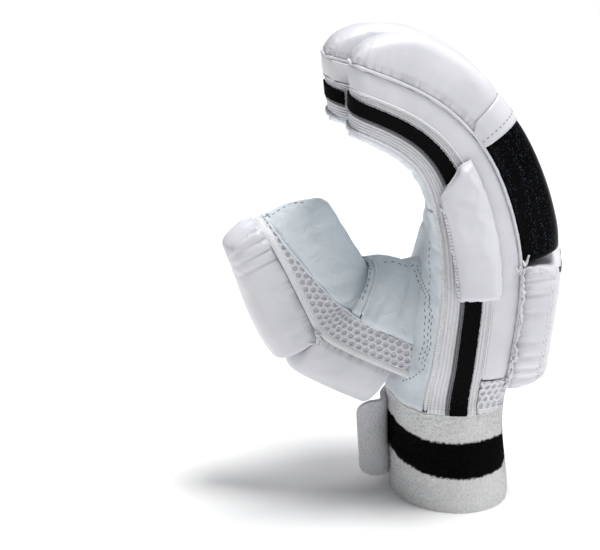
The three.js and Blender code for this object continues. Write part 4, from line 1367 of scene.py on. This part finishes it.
# %% [markdown]
# ## Rolled seams
# Where a roll meets its facing, both leathers turn in and leave a rolled, slightly puckered edge. The
# palm's edge is turned over the tape in the same way. Between the fingers nothing shows, so the beads
# of the two middle fingers go round the tip only. At each tip the front's sheepskin is turned in under
# the tape's end, and a thick bead closes the place.

# %% Rolled seams
def round_finger(which, start, short, turns, level, part=(0, 1), lift=0.15):
    """How long a finger's wall runs, and a path round it, level(along) mm over the plane of the back."""
    _, place, share, _ = FINGERS[which]
    long, run = finger_run(place, share * BACK - short, start, 0, 1 if which == 0 else -1, *turns)

    def path(t):
        along, across = run(mix(*part, t) * long, lift)
        return glove_space(finger_lines[which], along, across, level(along))
    return long, path


for which, (finger, *_) in enumerate(FINGERS):
    edge = which in (0, 3)
    turns = (0.0, 0.86) if edge else (0.13, 0.87)
    for kind, start, level, radius, material, slot, uneven in (
            ("roll_seam", MESH_BARE + 1, lambda a: 0.7, 0.9, white_leather, "white_pu", 0.18),
            ("facing_seam", MESH_BARE + 1, lambda a: -FACING_FOOT * depth_at(a) - 0.1, 0.55,
             binding_tape, "elastic_tape", 0.1),
            ("palm_seam", -1.5, lambda a: leather_level(a, 0) + 1.5, 1.2, back_cloth, "elastic_tape", 0.1)):
        long, path = round_finger(which, start if edge else WEB, 0.3, turns, level)
        bead(f"{kind}_{finger}", path, radius, int(long * 0.8), material, slot, uneven, seed=which * 3.0)
    _, path = round_finger(which, WEB, 1.0, (0.14, 0.86), lambda a: leather_level(a, 0) + 0.6, (0.4, 0.6), 0)
    bead(f"tip_turning_{finger}", path, 1.7, 24, sheepskin, "sheepskin", 0.1, seed=which + 0.5)
print("beads sewn:", sum("seam" in name for name in pieces))

# %% [markdown]
# The side bar is turned in along its palm side and its foot. The leather bunches there into a beaded
# white edge. On the hand pad a raw seam allowance is left standing next to the facing, as a frill.

# %% Bar edge and pad frill
for name, path, radius, rings, leather, uneven, seed in (
        ("bar_edge", lambda t: bar_surface(-1.0, 0.985 * (1 - t), 0.7, 0.3), 1.25, 110, cut_edge, 0.45, 2.0),
        ("bar_foot", lambda t: bar_surface(2 * t - 1, 0.0, 0.5, 0.25), 1.0, 40, cut_edge, 0.45, 5.0),
        ("bar_head", lambda t: bar_surface(2 * t - 1, 0.995, 0.2, 0.2), 0.7, 40, white_leather, 0.3, 9.0)):
    bead(name, path, radius, rings, leather, "white_pu", uneven, seed=seed)
FRILL_LONG = 72


def pad_frill(u, v, lift):
    along, run = mix(12, 12 + FRILL_LONG, u), u * FRILL_LONG
    out = 1.1 + 1.5 * ripple(run, 3.4, 6) * v + 0.5 * ripple(run, 6, 1)
    aside = -half_width(along) - 0.2 - 2.2 * v
    return glove_space(little_line, along + 0.8 * v * ripple(run, 2.1, 4), aside, out)


def beside_pad(t):
    along = mix(PAD_FOOT, 85, t)
    return glove_space(little_line, along, -half_width(along) - 0.7, 1.9 + 0.9 * ripple(73 * t, 5, 8))


def knot(along, out, turned):
    return lambda t: glove_space(little_line, along + 2.6 * math.sin(5 * t + turned),
                                 -half_width(along) - 0.6 - 0.6 * math.cos(6 * t), out - 4 * t)


sew_on("pad_frill", lay(150, 4, pad_frill, (FRILL_LONG, 2.4)), cut_edge, "white_pu", (), 0.5)
bead("pad_seam", beside_pad, 1.0, 130, white_leather, "white_pu", 0.7, seed=4.0)
for i, (along, out) in enumerate(((86.0, 3.0), (88.5, 6.0), (84.0, 1.5))):
    bead(f"raw_knot_{i}", knot(along, out, i), 0.7, 24, cut_edge, "white_pu", 0.6, seed=i * 2.0)
print("pieces:", len(pieces))

# %% [markdown]
# ## Trim on the rolls
# A folded white strip bridges the joint between the black panel and the roll over it, and its ends run
# down the sides of the panel. The rolls of the two middle fingers have a black flash at their foot, the
# index side has a narrow black stripe and the hand pad a curved line. These four are patches, cut from
# the pad's own surface and raised by half a millimetre.

# %% Patches on the pads
def patch(name, on, surface, sides, ends, grid, lift=0.45):
    """A thin black patch on a finished pad. Each of its two ends is a number or a function of u."""
    skin = skin_of(pieces[on])

    def spot(u, v, more):
        low, high = (end(u) if callable(end) else end for end in ends)
        side = -math.cos(math.pi * mix(*sides, u))
        near, normal, _, _ = skin.find_nearest(surface(side, mix(low, high, v), 0.3))
        return near + normal * (lift + more) * MM
    sew_on(name, lay(*grid, spot, (40, 6)), black_leather, "black_pu", (), 0.3)


def strip_spot(u, v, more):
    panel, roll = knuckle_surfaces["little"], roll_surfaces["little"]
    side = -math.cos(math.pi * mix(0.012, 0.988, clamp((u - 0.1) / 0.8, 0, 1)))
    down = clamp(max(0.1 - u, u - 0.9) / 0.1, 0, 1)
    way = panel(side, 0.6, 1) - panel(side, 0.6, 0)
    wide = (panel(1, 0.8, 0) - panel(-1, 0.8, 0)).normalized() * MM
    loft = 0.5 + 0.7 * math.sin(math.pi * v) + 0.25 * ripple(45 * u, 4, 3) * v + more
    crown = mix(panel(side, 0.865, 0.5), roll(side, 0.035, 0.2), v) + wide * side ** 5 * 1.1 + way * loft
    foot = panel_floor(side, mix(0.865, 0.995, v)) + wide * side * (1.3 + more) - way * 0.8
    return mix(crown, foot, down)


def line_foot(u):
    return 0.9 - 0.1 * math.sin(u * 2.6)


def line_head(u):
    return 0.935 - 0.095 * math.sin(u * 2.6)


sew_on("panel_strip", lay(60, 10, strip_spot, (45, 8)), white_leather, "white_pu", (), 0.5)
patch("flash_ring", "roll_ring", roll_surfaces["ring"], (0.56, 0.93),
      (0.035, lambda u: 0.045 + 0.15 * u ** 1.4), (40, 24))
patch("flash_middle", "roll_middle", roll_surfaces["middle"], (0.07, 0.6),
      (0.035, lambda u: 0.045 + 0.15 * (1 - u) ** 1.4), (40, 24))
patch("index_stripe", "knuckle_index", knuckle_surfaces["index"], (0.83, 0.9), (0.06, 0.94), (6, 50))
patch("wave_line", "hand_pad_skin", hand_surface, (0.2, 0.9), (line_foot, line_head), (90, 4), 0.35)
print("trim sewn on")

# %% [markdown]
# ## Thumb binding
# A white tape binds the edge of the thumb's back strip all the way round, over the top of the mesh. A
# bead closes the sheepskin's seam with the mesh, and another the heel's seam with the ball.

# %% Thumb binding
def binding_spot(u, v, lift):
    distance = u * gusset_long
    out = mix(-MESH - 0.25, 1.9, v) + 0.35 * ripple(distance, 7, 2) * v
    return gusset_spot(distance, out, 0.55 + 0.45 * math.sin(math.pi * v) + lift)


def ball_path(t):
    distance = mix(0.12, 0.88, t) * gusset_long
    return gusset_spot(distance, gusset_deep(distance) + 0.1, 0.1)


def thumb_knot(k):
    return lambda t: thumb_space(60 + 3 * k + 3.0 * math.sin(4 * t + 2 * k),
                                 -thumb_half(60) - 1.4 + 1.2 * math.cos(7 * t + k), -1.5 - 5.0 * t * (0.5 + k))


binding = trimmed(lay(220, 7, binding_spot, (gusset_long, 4)))
sew_on("thumb_binding", binding, binding_tape, "elastic_tape", (), 0.5)
bead("ball_seam", ball_path, 0.65, 150, sheepskin, "sheepskin", seed=8.0)
bead("heel_seam", lambda t: heel_ball(mix(0.01, 0.99, t), 0.9995, 0.1), 0.9, 90, sheepskin, "sheepskin",
     0.15, seed=6.0)
for i, step in enumerate((0.0, 0.5, 1.0)):
    bead(f"thumb_knot_{i}", thumb_knot(step), 0.6, 24, cut_edge, "white_pu", 0.6, seed=3.0 + i)
print("thumb bound")

# %% [markdown]
# ## Stitching
# The seams that the photograph shows are sewn with grey thread on the sheepskin and white thread on
# the coated leather. Where a row was measured in the photograph, a ray from the camera through each
# of its pixels finds the leather that it is sewn through.

# %% Rows of stitches
to_right = looking.cross(Vector((0, 0, 1))).normalized()
to_top = to_right.cross(looking)
sheepskins = [pieces[name] for name in ("palm_skin", "heel_skin", "thumb_skin")]
palm_side = [skin_of(made) for made in sheepskins]
PHOTO_MIDDLE, PHOTO_FOCAL = (300, 275), 1818  # in pixels


def seen(pixels, skins):
    """Points of the nearest skin behind each pixel of the photograph."""
    found = []
    for across, down in pixels:
        aside, below = across - PHOTO_MIDDLE[0], down - PHOTO_MIDDLE[1]
        ray = (looking + to_right * aside / PHOTO_FOCAL - to_top * below / PHOTO_FOCAL).normalized()
        hits = [hit for hit in (skin.ray_cast(camera.location, ray) for skin in skins) if hit[0] is not None]
        if hits:
            found.append(min(hits, key=lambda hit: hit[3])[0])
    return found


rows = [[ball(i / 60, 0.075, 0.3) for i in range(4, 57)], [ball(i / 60, 0.025, 0.3) for i in range(4, 57)],
        seen([(266, 221), (270, 217), (275, 213), (283, 208), (292, 204), (300, 202.5), (310, 203)], palm_side),
        [heel_ball(0.4, 0.25 + 0.7 * i / 20, 0.3) for i in range(21)]]
rows += [seen(path, palm_side) for path in (
    [(407.8, 243), (411, 256), (413.9, 269.4), (419, 283), (426, 296), (425.5, 320), (424, 345), (418, 363)],
    [(411, 243), (414.5, 256), (417.5, 269), (423, 282), (430, 296), (429.5, 320), (428, 345), (422, 366)],
    [(430, 239), (429.5, 265), (429, 290), (432, 312), (431, 345), (424, 369), (412, 378), (402, 381)])]
stitch_row("grey_stitches", sheepskins, [row for row in rows if len(row) > 1], grey_thread, "black_tape",
           2.3, 1.5, 0.3)


def beside_wall(along, out):
    return glove_space(little_line, along, -half_width(along) - 1, PAD_LEVEL + out)


pad_rows = [[beside_wall(mix(14, 80, i / 30), 18.5) for i in range(31)],
            [beside_wall(81.5, mix(2, 18.5, i / 10)) for i in range(11)],
            [hand_surface(-0.93, mix(0.06, 0.94, i / 30), 0.3) for i in range(31)]]
stitch_row("pad_stitches", [pieces["hand_pad_skin"]], pad_rows, white_thread, "white_pu", 2.2, 1.4, 0.32)
strip_row = [strip_spot(i / 40, 0.3, 0.4) for i in range(41)]
stitch_row("strip_stitches", [pieces["panel_strip"]], [strip_row], grey_thread, "black_tape", 1.6, 1.4, 0.22)
bar_row = [bar_surface(-0.9, mix(0.04, 0.95, i / 40), 0.3) for i in range(41)]
stitch_row("bar_stitches", [pieces["side_bar_skin"]], [bar_row], white_thread, "white_pu", 1.8, 1.6, 0.22)
print("rows of stitches:", len(rows) + 5)

# %% [markdown]
# ## Cuff
# A tube of towelling, open at both ends. The loops are partly real: the outer face is moved in and
# out by a cell pattern 1.5 mm across. The black band tips down towards the little finger side.

# %% Cuff
def tufts(point, size=1.5):
    spot = point / MM / size
    return 0.75 - noise.voronoi(spot)[0][0] + 0.3 * noise.noise(spot * 2.7)


def band_edges(angle):
    dip = max(0.0, math.cos(angle + math.radians(95))) ** 2
    return 46.5 - 4.2 * dip, 25 - 4.6 * dip


def towel_tube():
    bm = bmesh.new()
    cut_map = bm.loops.layers.uv.new("cut")
    band = bm.verts.layers.float.new("band")
    flat = flat_grid(bm, 360, 120)
    mark_cut(bm.faces, cut_map, at_size(flat, (ROUND_CUFF, 120)))
    for vert, (u, v) in flat.items():
        angle = 2 * math.pi * u
        # v runs up the outer face, over the rim, and down a little way inside
        if v < 0.72:
            share, inset, loose = v / 0.72, 0.0, 1.0
        else:
            t = (v - 0.72) / 0.28
            share, inset, loose = 1 - smooth(t), 4 * smooth(t * 6), 0.4
        spot = cuff_point(angle, share, -inset)
        away = Vector((math.cos(angle), math.sin(angle), 0))
        bump = 0.55 * tufts(spot) * loose
        pull = 0.5 * ripple(math.degrees(angle), 24, 3) * math.sin(math.pi * share) if not inset else 0
        vert.co = spot + away * MM * (bump * (1 if not inset else -1) + pull - 0.3)
        top, low = band_edges(angle)
        high = share * CUFF_HIGH + 0.9 * noise.noise(spot / MM / 1.7)
        vert[band] = clamp(min(top - high, high - low) + 0.5, 0, 1) if not inset else 0
    bmesh.ops.remove_doubles(bm, verts=bm.verts, dist=2e-6)
    # the last inner row is joined to the first outer row, so the tube is closed
    bmesh.ops.bridge_loops(bm, edges=[edge for edge in bm.edges if edge.is_boundary])
    bmesh.ops.recalc_face_normals(bm, faces=bm.faces)
    return bm


sew_on("towel_cuff", towel_tube(), towelling, "towelling", "wristband")
print("cuff faces:", len(pieces["towel_cuff"].data.polygons))

# %% [markdown]
# Some loops stand clear of the cloth and soften its outline. One loop is a three-sided thread spun
# half a turn, fifteen faces in all. A row of loops comes from doubling it along the row, then the rows
# are doubled, and the flat field is wrapped round the cuff. White and black loops are two pieces.

# %% Loops of the towelling
def loop_field(black):
    bm = bmesh.new()
    cut_map = bm.loops.layers.uv.new("cut")
    band = bm.verts.layers.float.new("band")
    place = Matrix.Translation((0.42, 0, 0)) @ Matrix.Rotation(math.pi, 4, "X")
    ring = bmesh.ops.create_circle(bm, segments=3, radius=0.17, matrix=place)
    bmesh.ops.spin(bm, geom=ring["verts"] + bm.edges[:], cent=(0, 0, 0), axis=(0, 1, 0), angle=-math.pi, steps=5,
                   use_merge=False)
    columns, rows, pitch = 128, 32, (ROUND_CUFF / 128, LOOPS_HIGH / 32)
    for count, step in ((columns, Vector((pitch[0], 0, 0))), (rows, Vector((0, pitch[1], 0)))):
        done = 1
        while done < count:
            copy = bmesh.ops.duplicate(bm, geom=bm.verts[:] + bm.edges[:] + bm.faces[:])["geom"]
            corners = [part for part in copy if isinstance(part, bmesh.types.BMVert)]
            bmesh.ops.translate(bm, verts=corners, vec=step * done)
            done *= 2
    drop = []
    for vert in bm.verts:
        column, row = round(vert.co.x / pitch[0]), round(vert.co.y / pitch[1])
        seed = Vector((column * 1.7, row * 2.3, 0.5))
        turn, shift = noise.noise(seed) * 5, noise.noise_vector(seed + Vector((9, 4, 2)))
        x, y = vert.co.x - column * pitch[0], vert.co.y - row * pitch[1]
        x, y = x * math.cos(turn) - y * math.sin(turn), x * math.sin(turn) + y * math.cos(turn)
        run = (column + (row % 2) / 2 + 0.9 * shift.x) * pitch[0]
        high = (row + 0.5 + 0.8 * shift.y) * pitch[1]
        top, low = band_edges(2 * math.pi * run / ROUND_CUFF)
        if (low < high < top) != black:
            drop.append(vert)
        vert[band] = 1.0 if black else 0.0
        share = clamp((high + y) / CUFF_HIGH, 0.004, 0.985)
        vert.co = cuff_point(2 * math.pi * (run + x) / ROUND_CUFF, share, vert.co.z + 0.05)
    bmesh.ops.delete(bm, geom=drop, context="VERTS")
    bmesh.ops.recalc_face_normals(bm, faces=bm.faces)
    mark_cut(bm.faces, cut_map, lambda vert: (vert.co.x, vert.co.z))
    return bm


for name, black in (("white_loops", False), ("black_loops", True)):
    sew_on(name, loop_field(black), towelling, "towelling")
    print(name, len(pieces[name].data.polygons), "faces")

# %% [markdown]
# The strap is a napped band that hugs the cuff on the thumb side and stands off it on the palm side,
# with a rounded free end.

# %% Strap
def strap_on_cuff(degrees, v, lift):
    high = STRAP_MIDDLE + (v - 0.5) * STRAP_WIDE
    return cuff_point(math.radians(degrees), high / CUFF_HIGH, STRAP_OFF + lift)


def strap_spot(u, v, lift):
    if u < 0.75:
        return strap_on_cuff(mix(80, 160, u / 0.75), v, lift)
    t = (u - 0.75) / 0.25
    tall = STRAP_WIDE * (1 - 0.3 * (1 - math.sqrt(1 - clamp((u - 0.9) / 0.1, 0, 1) ** 2)))
    root = strap_on_cuff(160, v, lift) / MM - FROM_CUFF
    free = Vector((root.x - 4 * t - 12 * t * t, root.y - 12 * t + 9 * t * t + lift * t * 0.6,
                   STRAP_MIDDLE + (v - 0.5) * tall))
    return (free + FROM_CUFF) * MM


def strap_relief(u, v):
    inner = clamp(min(1 - u, v, 1 - v) / 0.04, 0, 1)
    tuft = noise.voronoi(Vector((u * STRAP_LONG / 1.2, v * STRAP_WIDE / 1.2, 0.5)))[0][0]
    return inner * 0.3 * (0.6 - tuft) + 0.5 * noise.noise(Vector((u * 5, v * 3, 8)))


strap = lay(130, 66, strap_spot, (STRAP_LONG, STRAP_WIDE), strap_relief)
cloth(sew_on("napped_strap", strap, nap, "strap_pile", "wrist_strap", 3.0))
print("strap laid")

# %% [markdown]
# ## Floor
# A plain white floor, so large that its far edge stays out of every view.

# %% Floor
floor_finish, tree, shader, place, _ = finish("white_paper_floor", roughness=0.9)
tree.links.new(two_tone(tree, clouds(tree, place, 3, 2), "#f6f6f6", "#fafafa"), shader["Base Color"])
floor_bm = bmesh.new()
bmesh.ops.create_grid(floor_bm, x_segments=1, y_segments=1, size=6)
floor_mesh = bpy.data.meshes.new("paper_floor")
floor_bm.to_mesh(floor_mesh)
floor_bm.free()
paper = bpy.data.objects.new("paper_floor", floor_mesh)
bpy.context.scene.collection.objects.link(paper)
floor_mesh.materials.append(floor_finish)
print("floor laid")
